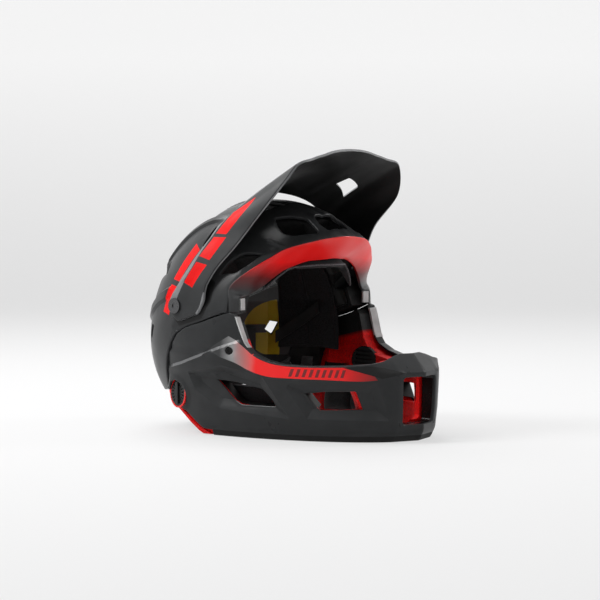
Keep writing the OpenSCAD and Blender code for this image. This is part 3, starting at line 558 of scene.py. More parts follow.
def fabric(name, colour, pitch=0.0011, rough=0.85):
    """Knitted mesh: raised loops, a little sheen and soft colour spread."""
    m, nt, b = new_material(name, colour, rough, Sheen_Weight=0.08, Sheen_Roughness=0.5,
                            Specular_IOR_Level=0.2)
    knit = cells(nt, coords(nt, (1 / pitch,) * 3), 1.0, "SMOOTH_F1")["Distance"]
    tint(nt, b, knit, colour, 1.5, 0.35, 0.15, 0.7)
    bump(nt, b, knit, -0.5, 0.0004)
    return m


def woven(name, colour, pitch=0.0016, rough=0.7):
    """Flat webbing: raised yarns that run slantwise."""
    m, nt, b = new_material(name, colour, rough, Sheen_Weight=0.15)
    wave = nt.nodes.new("ShaderNodeTexWave")
    wave.bands_direction = "DIAGONAL"
    yarns = wire(nt, wave, {"Vector": coords(nt), "Scale": 0.5 / pitch, "Distortion": 0.4}).outputs["Fac"]
    tint(nt, b, yarns, colour, 0.5, 1.6, 0.2, 0.8)
    bump(nt, b, yarns, 0.4, 0.0004)
    return m


def moulded(name, colour, rough=0.45, grain=900.0, depth=0.12):
    """Moulded plastic or rubber: fine spark texture and slightly uneven gloss."""
    m, nt, b = new_material(name, colour, rough, Specular_IOR_Level=0.2)
    v = coords(nt)
    tint(nt, b, noise(nt, v, 90.0), colour, 0.85, 1.18)
    uneven(nt, b, noise(nt, v, 50.0), rough, 0.06, 0.06)
    bump(nt, b, noise(nt, v, grain, 2.0), depth, 0.0003)
    return m


def metal(name, colour, rough=0.3):
    """Machined metal: fine turning marks and uneven gloss."""
    m, nt, b = new_material(name, colour, rough, Metallic=1.0)
    marks = noise(nt, coords(nt, (1, 1, 6)), 700.0)
    tint(nt, b, marks, colour, 0.8, 1.15)
    uneven(nt, b, marks, rough, 0.08, 0.1)
    bump(nt, b, marks, 0.06, 0.0001)
    return m


SHELL_GREY = (0.026, 0.027, 0.028)
RED = (0.88, 0.004, 0.004)
BLACK = (0.006, 0.006, 0.006)
DARK = (0.012, 0.012, 0.012)
STEEL = (0.5, 0.5, 0.51)
# The chin bar's stripe along Y: dark red at the front tip, painted shade towards the nose, then red, pale
# pinkish red and pale grey into the shell's grey at the rear.
STRIPE_STOPS = [(-0.146, (0.10, 0.004, 0.004)), (-0.116, RED), (-0.034, RED), (-0.022, (0.55, 0.17, 0.16)),
                (-0.012, (0.30, 0.30, 0.30)), (0.002, SHELL_GREY)]
# The brow rim by height: shell grey low down, then dark red and red, and at the top a slightly pinker red
# that is a painted highlight.
BROW_STOPS = [(0.118, SHELL_GREY), (0.142, SHELL_GREY), (0.154, (0.13, 0.005, 0.005)), (0.170, RED),
              (0.184, (0.84, 0.006, 0.005)), (0.192, (0.86, 0.03, 0.025))]

MAT = {
    "shell": painted("shell_paint", SHELL_GREY, 0.32, shine=0.17),
    # A lighter grey for a band on the chin bar's ridge: a painted highlight.
    "ridge": painted("ridge_painted_highlight", (0.11, 0.112, 0.115), 0.3),
    # The visor's top is painted a lighter grey than its own dark grey below the crease: painted light from
    # above.
    "visor_top_painted_light": painted("visor_paint", (0.18, 0.183, 0.188)),
    "visor_side": painted("visor_side_paint", (0.032, 0.033, 0.034), 0.34, shine=0.17),
    # Near black: the black of the nose's facets and line, painted shade on inner sides and in the chin bar's
    # vents, and a painted shadow under each visor lug.
    "visor_under": painted("visor_under", (0.0035, 0.0035, 0.0035), shine=0.25),
    "stripe": graded_paint("stripe_paint", "Y", STRIPE_STOPS),
    "stripe_bars": painted("stripe_bar_paint", (0.16, 0.010, 0.010), 0.4),
    "red": painted("red_paint", (0.74, 0.003, 0.003), spread=0.05, shine=0.15),
    "housing": painted("housing_red", (0.70, 0.010, 0.008), 0.3),
    "brow": graded_paint("brow_red", "Z", BROW_STOPS, 0.34),
    "black_foam": foam("black_foam", BLACK, 0.55),
    # Red bead foam, black above a sloping plane; the black round the side vents is painted shade.
    "red_foam": split_foam("red_foam", (0.86, 0.004, 0.004), BLACK, 0.0915, 0.2),
    "slip": slip_sheet("slip_sheet"),
    "pad": fabric("pad_fabric", (0.010, 0.010, 0.011)),
    "piping": fabric("pad_piping", (0.09, 0.09, 0.095), 0.0007),
    "webbing": woven("webbing", (0.016, 0.016, 0.017)),
    "grey": moulded("grey_trim", (0.50, 0.50, 0.50), 0.4),
    "plastic": moulded("dark_plastic", DARK, 0.42),
    "gloss_black": moulded("gloss_black", BLACK, 0.22, 1200.0, 0.04),
    "knob": moulded("knob_plastic", DARK, 0.32),
    "belt": moulded("belt_plastic", DARK, 0.5),
    "rubber": moulded("neck_rubber", (0.010, 0.010, 0.010), 0.65),
    "screw": metal("screw_metal", (0.11, 0.11, 0.113)),
    "bushing": metal("bushing_metal", STEEL, 0.25),
    "steel": metal("keeper_steel", STEEL),
}

NODE_MATERIAL = both_sides({
    "outer_shell": "shell", "chin_shell": "shell", "visor": "visor_top_painted_light", "brow_rim": "brow",
    "eps_liner": "black_foam", "chin_liner": "red_foam", "slip_liner": "slip",
    "crown_pad": "pad", "brow_pad": "pad", "nape_pad": "pad", "side_pad_": "pad", "cheek_pad_": "pad",
    "eyeport_strip_": "grey", "rim_strip_": "grey", "latch_housing_": "housing", "latch_knob_": "knob",
    "visor_boss_": "plastic", "visor_screw_": "screw", "visor_bushing_": "bushing", "latch_keeper_": "steel",
    "strap_anchors": "steel", "chin_strap_": "webbing", "strap_buckle": "plastic",
    "neck_trim": "rubber", "chin_trim": "rubber", "cheek_duct_": "rubber",
    "mouth_frame": "gloss_black", "bar_plug_": "gloss_black",
    "fit_belt_": "belt", "fit_cradle": "belt", "fit_dial": "knob", "cradle_guides": "plastic",
})
WORN_EDGES = both_sides({
    "visor_screw_": 0.35, "latch_knob_": 0.3, "latch_housing_": 0.3, "bar_plug_": 0.3, "mouth_frame": 0.5,
    "strap_buckle": 0.6, "fit_dial": 0.3, "fit_cradle": 0.4,
})


def dress_nodes():
    """Materials for the carried-over solids, and small worn edges on some."""
    for name, key in NODE_MATERIAL.items():
        data = nodes[name].data
        data.materials.clear()
        data.materials.append(MAT[key])
    for name, width in WORN_EDGES.items():
        mod = nodes[name].modifiers.new("edges", "BEVEL")
        mod.width = width * MM
        mod.segments = 2
        mod.limit_method = "ANGLE"
        mod.angle_limit = math.radians(40)
        mod.harden_normals = False


# The trimmed sheet: an outline with holes, filled with triangles, laid on a surface and given thickness

ROLL_RINGS = 3


def normals_of(surface, uv, e=0.4):
    du = surface(uv + (e, 0)) - surface(uv - (e, 0))
    dv = surface(uv + (0, e)) - surface(uv - (0, e))
    return unit(np.cross(du, dv))


def fill_triangles(outline, holes, extra, step):
    """Triangles of a flat outline less its holes, with the extra lines kept as edges."""
    outline = densify(outline, step)
    holes = [densify(h, step * 0.7) for h in holes]
    lo, hi = outline.min(0), outline.max(0)
    across = np.arange(lo[0], hi[0], step)
    rows = np.arange(lo[1], hi[1], step * 0.866)
    grid = np.array([(x + (k % 2) * step / 2, y) for k, y in enumerate(rows) for x in across])
    grid = grid[within(outline, holes, grid)]
    near = np.full(len(grid), 1e9)
    pts, edges = [], []
    lines = [(line, True) for line in [outline] + holes]
    lines += [(densify(line, step * 0.9, closed=False), False) for line in extra]
    for line, closed in lines:
        near = np.minimum(near, distance(line, grid, closed))
        first, count = len(pts), len(line)
        pts += list(line)
        edges += [(first + i, first + (i + 1) % count) for i in range(count if closed else count - 1)]
    pts += list(grid[near > step * 0.55])
    found = geometry.delaunay_2d_cdt([Vector(p) for p in pts], edges, [], 0, 1e-4)
    uv = np.array([tuple(v) for v in found[0]])
    tri = np.array(list(found[2]), int)
    tri = tri[within(outline, holes, uv[tri].mean(1))]
    a, b, c = uv[tri[:, 0]], uv[tri[:, 1]], uv[tri[:, 2]]
    area = (b[:, 0] - a[:, 0]) * (c[:, 1] - a[:, 1]) - (b[:, 1] - a[:, 1]) * (c[:, 0] - a[:, 0])
    tri[area < 0] = tri[area < 0][:, ::-1]
    tri = tri[np.abs(area) > 1e-6]
    used = np.unique(tri)
    new = np.full(len(uv), -1)
    new[used] = np.arange(len(used))
    return uv[used], new[tri]


def rolled_edge(lip, thick):
    """Rings of an edge: a quarter round of radius lip, then straight down to the inner sheet."""
    turns = [math.pi / 2 * k / ROLL_RINGS for k in range(1, ROLL_RINGS + 1)]
    return [(lip * math.sin(a), lip * (1 - math.cos(a))) for a in turns] + [(lip, thick)]


def trimmed_sheet(name, body, surface, outline, looks, inner, step, thick, lip, holes=(), regions=(),
                  creases=(), relief=None, edge=None, wall_at=None, outwards=1.0, smooth_angle=40.0):
    """A closed shell on a surface.

    looks are keys of MAT, the first for the outside. inner is the inside's, and regions are (polygon, look).
    edge(uv) may give the edges other rings, and wall_at(uv, ring) looks for the rings past the roll.
    """
    extra = [looped(poly) for poly, _ in regions] + list(creases)
    uv, tri = fill_triangles(outline, holes, extra, step)
    if outwards < 0:
        tri = tri[:, ::-1]
    p = surface(uv)
    n = normals_of(surface, uv) * outwards
    if relief:
        p = p + n * relief(uv, p)[:, None]
    mid = uv[tri].mean(1)
    look = np.zeros(len(tri), int)
    for poly, key in regions:
        look[inside(poly, mid)] = looks.index(key)
    edges = {(f[i], f[(i + 1) % 3]): k for k, f in enumerate(tri) for i in range(3)}
    rim = [(a, b, k) for (a, b), k in edges.items() if (b, a) not in edges]
    order = np.array(sorted({v for pair in rim for v in pair[:2]}))
    at = {v: i for i, v in enumerate(order)}
    direction = np.zeros((len(order), 3))
    for a, b, _ in rim:
        direction[[at[a], at[b]]] += unit(p[b] - p[a])
    out = unit(np.cross(direction, n[order]))
    rings = edge(uv[order]) if edge else rolled_edge(lip, thick)
    verts, faces, index = [p], list(tri), list(look)
    before = {v: v for v in order}
    for r, (away, depth) in enumerate(rings):
        away, depth = (np.broadcast_to(x, len(order))[:, None] for x in (away, depth))
        ring = p[order] + out * away - n[order] * depth
        first = len(p) + r * len(order)
        now = {v: first + at[v] for v in order}
        if r == len(rings) - 1:
            low = p - n * thick
            low[order] = ring
            ring = low
            now = {v: first + v for v in order}
        verts.append(ring)
        walls = wall_at(uv[order], r) if wall_at else [looks[0]] * len(order)
        for a, b, k in rim:
            faces.append((before[b], before[a], now[a], now[b]))
            index.append(look[k] if r < ROLL_RINGS else looks.index(walls[at[a]]))
        before = now
    faces += [first + f[::-1] for f in tri]
    index += [looks.index(inner)] * len(tri)
    faces = [tuple(int(v) for v in f) for f in faces]
    return make_object(name, np.vstack(verts), faces, [MAT[k] for k in looks], body, smooth_angle, index)


# The helmet's dome, laid out flat about its crown

DOME_SCALE = 2.2


def dome_uv(az, el):
    r = DOME_SCALE * (90.0 - np.asarray(el, float))
    return np.stack([r * np.cos(np.radians(az)), r * np.sin(np.radians(az))], -1)


def dome_at(uv):
    az = np.arctan2(uv[:, 1], uv[:, 0])
    el = np.radians(90.0 - np.hypot(uv[:, 0], uv[:, 1]) / DOME_SCALE)
    f = np.where(np.sin(az) < 0, FRONT, REAR)
    h = np.where(el > 0, CROWN, LOW_H)
    x, y = HALF_W * np.cos(el) * np.cos(az), f * np.cos(el) * np.sin(az)
    return np.stack([x, y, WIDE_Z + h * np.sin(el)], -1)


def dome_from_point(p):
    p = np.asarray(p, float)
    f = np.where(p[:, 1] < 0, FRONT, REAR)
    h = np.where(p[:, 2] > WIDE_Z, CROWN, LOW_H)
    az = np.degrees(np.arctan2(p[:, 1] / f, p[:, 0] / HALF_W))
    el = np.degrees(np.arctan2((p[:, 2] - WIDE_Z) / h, np.hypot(p[:, 0] / HALF_W, p[:, 1] / f)))
    return dome_uv(az, el)


def dome_from_side(line):
    """Points of a side outline (y, z) moved onto the right half of the dome; those off it are dropped."""
    line = np.asarray(line, float)
    h = np.where(line[:, 1] > WIDE_Z, CROWN, LOW_H)
    el = np.degrees(np.arcsin(np.clip((line[:, 1] - WIDE_Z) / h, -1, 1)))
    f = np.where(line[:, 0] < 0, FRONT, REAR)
    s = line[:, 0] / (f * np.cos(np.radians(el)))
    ok = np.abs(s) <= 1
    return dome_uv(180.0 - np.degrees(np.arcsin(np.clip(s, -1, 1)))[ok], el[ok])


# The outer shell: side outlines as (y, z), points as (x, y, z)

BROW_LINE = [[-101, 192], [-98, 190.8], [-93, 188], [-78, 181], [-69, 173], [-59, 164], [-45, 152],
             [-39.5, 144], [-41, 136], [-42, 121.5]]
BROW_CORNER = 7
SEAM_LINE = [[-42, 121.5], [-27, 116.5], [-11, 111], [10, 105], [22, 98.6], [30, 90], [36.5, 79], [43, 64],
             [47, 52]]
SEAM_JOIN = [[-39.0, 122.3]]
SHELL_FOOT = [[54, 46], [70, 40], [100, 35], [112, 34.5]]
LIP_GAP, SEAM_GAP = 2.5, 2.8
LUG_FLAT = [[36, 124], [27, 101], [-8, 107.5], [-20, 113.5], [-23, 141], [-45, 181], [18, 181], [36, 134]]
LUG_SHADE = [[-20.5, 150], [-20.3, 132], [-10.2, 115.2], [20.8, 106.5], [35, 121], [34, 128], [22, 140],
             [0, 160]]
PIVOT = (23.0, 126.0)
BOSS_FACE, BOSS_HOLE_R = 111.8, 9.3
FLAT_SLOPE, FLAT_GROWTH = 2.0, 1.8
SHELL_VENTS = {
    "temple": [[-101, -20.4, 155.8], [-89.7, -29.6, 173.7], [-83.2, -39.7, 179.3], [-75.8, -62.5, 177.8],
               [-88.4, -51.2, 165.8], [-96, -40.5, 158.6]],
    "brow": [[-44.6, -42.8, 211.9], [-31.4, -53.2, 214.1], [-20.5, -66.7, 211.5], [-24.4, -85.5, 199.5],
             [-29, -88, 196.5], [-49.6, -75, 194.1], [-55.1, -64.6, 196.4], [-52.2, -54.4, 203.2]],
    "crown": [[-38, -28, 220], [-14, -34, 224], [-14, 8, 228], [-36, 8, 222]],
    "upper": [[-92, -12, 172], [-76, -22, 191], [-64, 14, 200], [-84, 16, 181]],
    "back": [[-52, 30, 209], [-22, 34, 219], [-20, 72, 203], [-46, 66, 196]],
    "rear": [[-84, 62, 154], [-72, 66, 168], [-48, 98, 150], [-58, 98, 134]],
    "low": [[-95, 72, 104], [-88, 84, 106], [-84, 92, 92], [-92, 84, 84]],
    "nape": [[-38, 113, 113], [-12, 124, 113], [-12, 125, 93], [-32, 119.5, 94]],
}
NOSE_VENT = [[-15.5, -90, 198.6], [15.5, -90, 198.6], [18, -80, 204.5], [13.5, -66, 212], [-13.5, -66, 212],
             [-18, -80, 204.5]]
VENT_ROUND = 4.0
SHELL_STRIPES = [
    [[38, 116], [50, 119], [44, 146], [32, 144]],
    [[30.5, 149], [42.5, 151], [27, 186], [16, 180]],
]
RIB_POINTS = 24
# Each rib: points along it, half width, width of its slope and height
SHELL_RIBS = [
    ([[-8, -100, 186], [-8, -60, 214], [-8, 0, 229], [-8, 60, 212], [-8, 105, 168]], 9.0, 4.0, 2.0),
    ([[-101, -33, 147], [-96.4, -41, 157], [-85.2, -55, 169], [-73.9, -65, 178], [-60.6, -74, 186]],
     3.6, 2.0, 1.5),
    ([[-70, -46, 192], [-66, -62, 188], [-61.5, -79, 181.5]], 3.4, 2.8, 2.0),
    ([[-70, -50, 190], [-58, -20, 206], [-56, 30, 206], [-60, 70, 180], [-58, 95, 150]], 6.5, 3.0, 2.4),
    ([[-104, 30, 140], [-96, 60, 132], [-80, 88, 118], [-52, 112, 104]], 7.0, 3.0, 2.2),
]


def rib_lines(points, offsets):
    """Lines beside a rib's middle on the flat layout."""
    middle = curve_through(dome_from_point(points), RIB_POINTS)
    return [offset_line(middle, by) for by in offsets]


def shell_holes():
    holes = []
    for corners in SHELL_VENTS.values():
        holes += both(rounded(dome_from_point(corners), VENT_ROUND))
    holes.append(rounded(dome_from_point(NOSE_VENT), VENT_ROUND))
    return holes + both(dome_from_side(circle(PIVOT, BOSS_HOLE_R, 27)))


def shell_outline():
    brow = offset_line(curve_through(BROW_LINE[:BROW_CORNER + 1], 70), LIP_GAP)
    side = [p for p in offset_line(BROW_LINE[BROW_CORNER:], LIP_GAP) if p[1] > 123][1:]
    seam = [p for p in offset_line(curve_through(SEAM_LINE, 60), SEAM_GAP) if p[0] > -37]
    whole = np.vstack([brow, side, SEAM_JOIN, seam, SHELL_FOOT])
    return two_halves(dome_from_side(densify(whole, 2.0, closed=False)))


def shell_relief(uv, p):
    """The flats under the visor's lugs, ribs beside the vents and a raised spine along the middle."""
    off_flat = -signed_distance(LUG_FLAT, p[:, 1:])
    limit = BOSS_FACE + FLAT_SLOPE * np.maximum(0, off_flat)
    x = np.abs(p[:, 0])
    flat = np.minimum(0, limit - x) / np.maximum(0.5, x / HALF_W)
    rise = np.zeros(len(uv))
    for points, width, slope, tall in SHELL_RIBS:
        left, right = rib_lines(points, (width, -width))
        for poly in both(np.vstack([left, right[::-1]])):
            ends = (poly[[0, RIB_POINTS - 1]] + poly[[-1, RIB_POINTS]]) / 2
            away = np.min([np.linalg.norm(uv - e, axis=1) for e in ends], axis=0)
            fade = min(26.0, 0.35 * np.linalg.norm(ends[0] - ends[1]))
            bank = tall * soft_ramp(signed_distance(poly, uv), slope)
            rise = np.maximum(rise, bank * smooth(2, fade, away))
    beside_spine = np.maximum(smooth(30, 42, x), smooth(212, 220, p[:, 2]))
    under_visor = beside_spine * smooth(188, 200, p[:, 2]) * smooth(25, 0, p[:, 1])
    return flat + rise * smooth(3, 14, off_flat) * (1 - 0.85 * under_visor)


def make_outer_shell():
    outline, holes = shell_outline(), shell_holes()
    creases = []
    for points, width, slope, _ in SHELL_RIBS:
        for line in rib_lines(points, (width, width - slope, slope - width, -width)):
            creases += both(line)
    for grown in (0.0, FLAT_GROWTH):
        creases += both(dome_from_side(densify(looped(inset(LUG_FLAT, -grown)), 3.0, closed=False)))
    creases = [c[inside(outline, c) & (distance(outline, c) > 2.0)] for c in creases]
    for h in holes:
        creases = [c[~inside(h, c) & (distance(h, c) > 1.5)] for c in creases]
    creases = [c for c in creases if len(c) > 3 and np.diff(walked(c)).max() < 16]
    regions = []
    # The stripes are red paint; LUG_SHADE is a painted shadow on the shell under the visor's lug.
    for poly, look in [(s, "red") for s in SHELL_STRIPES] + [(LUG_SHADE, "visor_under")]:
        regions += marked(dome_from_side(densify(poly, 4.0)), look)
    looks = ["shell", "red", "visor_under"]
    piece = trimmed_sheet("helmet_shell", "helmet_body", dome_at, outline, looks, "shell", 3.0, SHELL_T, 1.1,
                          holes, regions, creases, shell_relief, smooth_angle=24.0)
    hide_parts("outer_shell")


# The chin bar, laid out flat along its length and height; its outlines are (angle, height) on the right

NOSE_HALF = 29.0
NOSE_ROUND = 1.004
BAR_R = 106.0
# By height: the half width at the rear and in front, and the depth
REAR_W = [[0, 96], [10, 99.5], [30, 103], [60, 107.5], [72, 112], [80, 114.2], [84, 113], [90, 114.6],
          [105, 115], [122, 112.6]]
FRONT_W = [[0, 96], [10, 99.5], [30, 103], [60, 106], [92, 106.5], [122, 106]]
BAR_DEEP = [[0, 190], [10, 195], [30, 197], [60, 198], [95, 197]]


def bar_pt(th, z, off=0.0):
    """The point at an angle and height, moved inwards by off."""
    th, z = np.broadcast_arrays(np.asarray(th, float), np.asarray(z, float))
    left = th > 90
    a = np.where(left, 180 - th, th)
    s = smooth(6, 20, a)
    w = along(REAR_W, z) * (1 - s) + along(FRONT_W, z) * s - off
    f = along(BAR_DEEP, z) - smooth(58, 75, a) * np.maximum(0, z - 67) * 0.9 - off
    x = w * np.cos(np.radians(a))
    corner = np.sqrt(1 - (NOSE_HALF / w) ** 2)
    nose = -f * (NOSE_ROUND + (corner - NOSE_ROUND) * x / NOSE_HALF)
    front = np.where(x < NOSE_HALF, nose, -f * np.sin(np.radians(a)))
    y = np.where(a < 0, -(REAR - off) * np.sin(np.radians(a)), front)
    return np.stack([np.where(left, x, -x), y, z], -1)


TH_GRID = np.arange(-30, 210.01, 0.25)
U_GRID = walked(bar_pt(TH_GRID, 45.0))
U_GRID -= np.interp(90, TH_GRID, U_GRID)


def u_of(th):
    return np.interp(th, TH_GRID, U_GRID)


def th_of(u):
    return np.interp(u, U_GRID, TH_GRID)


def bar_at(uv):
    return bar_pt(th_of(uv[:, 0]), uv[:, 1])


def bar_uv(points):
    points = np.asarray(points, float)
    return np.stack([u_of(points[:, 0]), points[:, 1]], 1)


def bar_from_side(line):
    """Points of a side outline (y, z) moved onto the right half of the chin bar's surface."""
    deep = np.where(line[:, 0] > 0, REAR, along(BAR_DEEP, line[:, 1]))
    return bar_uv(np.stack([np.degrees(np.arcsin(np.clip(-line[:, 0] / deep, -1, 1))), line[:, 1]], 1))


TOP_LINE = [[-21.7, 52], [-19.8, 64], [-16.7, 79], [-13.7, 90], [-10, 98.6], [-4.5, 105], [3.2, 111],
            [7.8, 116.3], [12.2, 121], [13.6, 120], [16.7, 92], [19.6, 82], [24.3, 76], [29.3, 73], [38, 72],
            [50.5, 73], [60, 74.5], [70, 78], [77, 82], [82, 84], [90, 84]]
FOOT_LINE = [[-21.7, 44], [-18.9, 35], [-10.4, 23], [-0.6, 7], [3, 6.3], [90, 6.3]]
TOP_GAP = 0.8
BAR_PANELS = [
    [[-5, 63], [10, 71], [22.7, 61], [31.7, 21], [7, 28], [-2.3, 45]],
    [[30, 55], [64, 57], [70, 21], [37.3, 22]],
]
PANEL_DEEP, PANEL_SLOPE = 5.0, 9.0
BAR_REAR_VENT = [[5.5, 56], [11.7, 35], [14.5, 31], [26.7, 30.5], [26, 38], [22, 49], [13, 54.5]]
BAR_FRONT_VENT = [[35.5, 46.5], [44.6, 49.5], [55.4, 50], [58.5, 30], [41, 28.5]]
BAR_VENT_ROUND, AT_EDGE = 3.0, 0.6
REAR_VENT_FOLD, FRONT_VENT_FOLD, SILL_FOLD, TOP_FOLD = 12.0, 15.0, 3.2, 9.0
SILL_Z, RED_LINE_TH, RED_LINE_TOP = 31.5, 17, 54
BAR_LIP = 1.3
NOSE_FACET = [[50.5, 71.8], [60, 73.5], [68, 71.5], [78, 66], [66, 61.4]]
NOSE_LINE_W = 0.6
# The ridge under the top edge, as (y, z), with its slope, height and where its painted highlight starts
BAR_RIDGE = np.array([[-54, 96], [-43, 92.5], [-30, 88], [-8, 80], [18, 72], [40, 67], [47, 62]], float)
RIDGE_SLOPE, RIDGE_TALL, RIDGE_HIGHLIGHT_FROM = 2.4, 2.2, -34
LATCH, POCKET_R, COLLAR_TALL = (-14.8, 39.0), 14.6, 1.5
PLUG, PLUG_R = (12.6, 85.0), 5.2
MOUTH_HALF_W, MOUTH_Z0, MOUTH_Z1, MOUTH_ROUND = 25.4, 15.0, 63.2, 6.0
STRIPE_TOP = [[12.5, 99], [15.5, 93], [19.5, 81.5], [24.25, 75], [29.25, 72.2], [37.5, 71.2], [50.25, 72],
              [60, 72.5]]
STRIPE_LOW = [[64, 60], [56.75, 59], [43.75, 60], [31.5, 60.5], [24.25, 61.5], [18.25, 66.5], [14, 74],
              [8.5, 81], [5.5, 84.5]]
STRIPE_BAR = np.array([[0, 62.2], [1.1, 62.2], [2.1, 69.6], [1.0, 69.6]])
BAR_COUNT, BAR_FIRST, BAR_PITCH = 9, 31.5, 2.25


def bar_relief(uv, p):
    """Sunk panels, the ridge under the top edge and a collar round each latch."""
    right = np.stack([-np.abs(uv[:, 0]), uv[:, 1]], 1)
    sunk = [soft_ramp(signed_distance(bar_uv(panel), right), PANEL_SLOPE) for panel in BAR_PANELS]
    below = along(BAR_RIDGE, p[:, 1]) - p[:, 2]
    reach = smooth(-62, -50, p[:, 1]) * smooth(50, 40, p[:, 1])
    shoulder = RIDGE_TALL * soft_ramp(below, RIDGE_SLOPE) * (1 - smooth(12, 38, below)) * reach
    ring = np.linalg.norm(right - bar_uv([LATCH]), axis=1)
    collar = COLLAR_TALL * (1 - smooth(POCKET_R + 1, POCKET_R + 5, ring))
    return shoulder - PANEL_DEEP * np.maximum(*sunk) + collar


def bar_vent(corners):
    return both(rounded(bar_uv(corners), BAR_VENT_ROUND))


def near_vent(corners, uv):
    return np.any([distance(hole, uv) < AT_EDGE for hole in bar_vent(corners)], axis=0)


def bar_edge(uv):
    """Rings of the chin bar's edges: rolled, then folded deep inwards along the top and in the vents."""
    side = 90 - np.abs(90 - th_of(uv[:, 0]))
    at_top = np.abs(uv[:, 1] - (along(TOP_LINE, side) - TOP_GAP)) < 1.2
    fold = np.where(at_top, smooth(12.2, 14, side), 0)
    rear, front = near_vent(BAR_REAR_VENT, uv), near_vent(BAR_FRONT_VENT, uv)
    vent = (rear | front).astype(float)
    plain = (1 - fold) * (1 - vent)
    folds = [SILL_FOLD, FRONT_VENT_FOLD, REAR_VENT_FOLD]
    deep = np.select([front & (uv[:, 1] < SILL_Z), front, rear], folds, 0)
    top, deep = (TOP_FOLD - BAR_LIP) * fold, (deep - BAR_LIP) * vent
    back = BAR_LIP - 3.0 * fold - vent
    floor = (BAR_T + TOP_FOLD) / 2 * fold + np.maximum(3.1, (deep + BAR_LIP) * 0.5) * vent
    return rolled_edge(BAR_LIP, BAR_T)[:ROLL_RINGS] + [
        (BAR_LIP, BAR_LIP + 0.3 * plain + 0.5 * top + 0.7 * vent),
        (BAR_LIP, BAR_LIP + 0.6 * plain + top + deep),
        (BAR_LIP - 1.2 * fold - 0.5 * vent, BAR_LIP + 0.9 * plain + top + 0.3 * fold + deep + 0.3 * vent),
        (back, 2.6 * plain + floor),
        (back, BAR_T),
    ]


def bar_walls(uv, ring):
    """Looks of the folded edges: near black inside the side vents, which is painted shade, with a red line
    round them.
    """
    rear, front = near_vent(BAR_REAR_VENT, uv), near_vent(BAR_FRONT_VENT, uv)
    found = np.where(rear | front, "visor_under", "shell")
    if ring == ROLL_RINGS:
        outer = np.abs(uv[:, 0]) > -u_of(RED_LINE_TH)
        found[rear & outer & (uv[:, 1] < RED_LINE_TOP)] = "red"
        found[front & (uv[:, 1] < SILL_Z)] = "red"
    return found


def bar_outline():
    right = bar_uv(np.vstack([FOOT_LINE[::-1], np.array(TOP_LINE) - (0, TOP_GAP)]))
    return two_halves(densify(right, 2.4, closed=False))


def bar_circle(centre, r, n=30):
    return circle(bar_uv([centre])[0], r, n)


def bar_holes():
    u = u_of(math.degrees(math.acos(MOUTH_HALF_W / BAR_R)))
    mouth = [[u, MOUTH_Z0], [-u, MOUTH_Z0], [-u, MOUTH_Z1], [u, MOUTH_Z1]]
    return (bar_vent(BAR_REAR_VENT) + bar_vent(BAR_FRONT_VENT) + both(bar_circle(LATCH, POCKET_R))
            + both(bar_circle(PLUG, PLUG_R, 20)) + [rounded(mouth, MOUTH_ROUND)])


def bar_regions(lit):
    """The stripe with its row of slanted bars, the nose's facets and line, and the ridge's lighter band, a
    painted highlight.
    """
    stripe = bar_uv(np.vstack([curve_through(STRIPE_TOP, 30), curve_through(STRIPE_LOW, 40)]))
    found = marked(stripe, "stripe")
    for k in range(BAR_COUNT):
        found += marked(bar_uv(STRIPE_BAR + (BAR_FIRST + BAR_PITCH * k, 0)), "stripe_bars")
    found += marked(bar_uv(densify(NOSE_FACET, 3.0)), "visor_under")
    for z0, z1 in ((7.5, MOUTH_Z0 - 1), (MOUTH_Z1 + 1, 82.5)):
        w = NOSE_LINE_W
        found.append(([[-w, z0], [w, z0], [w, z1], [-w, z1]], "visor_under"))
    return found + marked(lit, "ridge")


def make_chin_shell():
    creases = []
    th_corner = math.degrees(math.acos(NOSE_HALF / BAR_R))
    for t in (th_corner, 180 - th_corner):
        creases.append(np.stack([np.full(40, u_of(t)), np.linspace(7, 83, 40)], 1))
    for panel in BAR_PANELS:
        for s in both(bar_uv(panel)):
            creases += [looped(s), looped(inset(s, PANEL_SLOPE))]
    ridge = densify(BAR_RIDGE, 2.0, closed=False)
    ridge = ridge[(ridge[:, 0] > -50) & (ridge[:, 0] < 38)]
    plug = bar_circle(PLUG, PLUG_R + 1.5)
    for drop in (0.0, RIDGE_SLOPE):
        line = bar_from_side(ridge - (0, drop))
        creases += both(line[~inside(plug, line)])
    # The ridge's lighter band is a painted highlight.
    lit = ridge[ridge[:, 0] > RIDGE_HIGHLIGHT_FROM]
    lit = np.vstack([bar_from_side(lit), bar_from_side(lit - (0, RIDGE_SLOPE))[::-1]])
    looks = ["shell", "stripe", "stripe_bars", "visor_under", "red", "ridge"]
    piece = trimmed_sheet("chin_bar_shell", "chin_bar", bar_at, bar_outline(), looks, "visor_under", 2.4,
                          BAR_T, BAR_LIP, bar_holes(), bar_regions(lit), creases, bar_relief, bar_edge,
                          bar_walls, smooth_angle=24.0)
    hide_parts("chin_shell")


# Surfaces between two edge lines, lofts and tubes

END_SPAN = 8


def both_halves(stations):
    s = np.asarray(stations, float)
    return np.vstack([s, mirrored(s[:-1])[::-1]])


def stretch(x, xs, ys):
    """Linear interpolation that runs on straight beyond both ends, at the slope of the last few samples."""
    k = END_SPAN
    before = ys[0] + (x - xs[0]) * (ys[k] - ys[0]) / (xs[k] - xs[0])
    beyond = ys[-1] + (x - xs[-1]) * (ys[-1] - ys[-1 - k]) / (xs[-1] - xs[-1 - k])
    return np.where(x < xs[0], before, np.where(x > xs[-1], beyond, np.interp(x, xs, ys)))


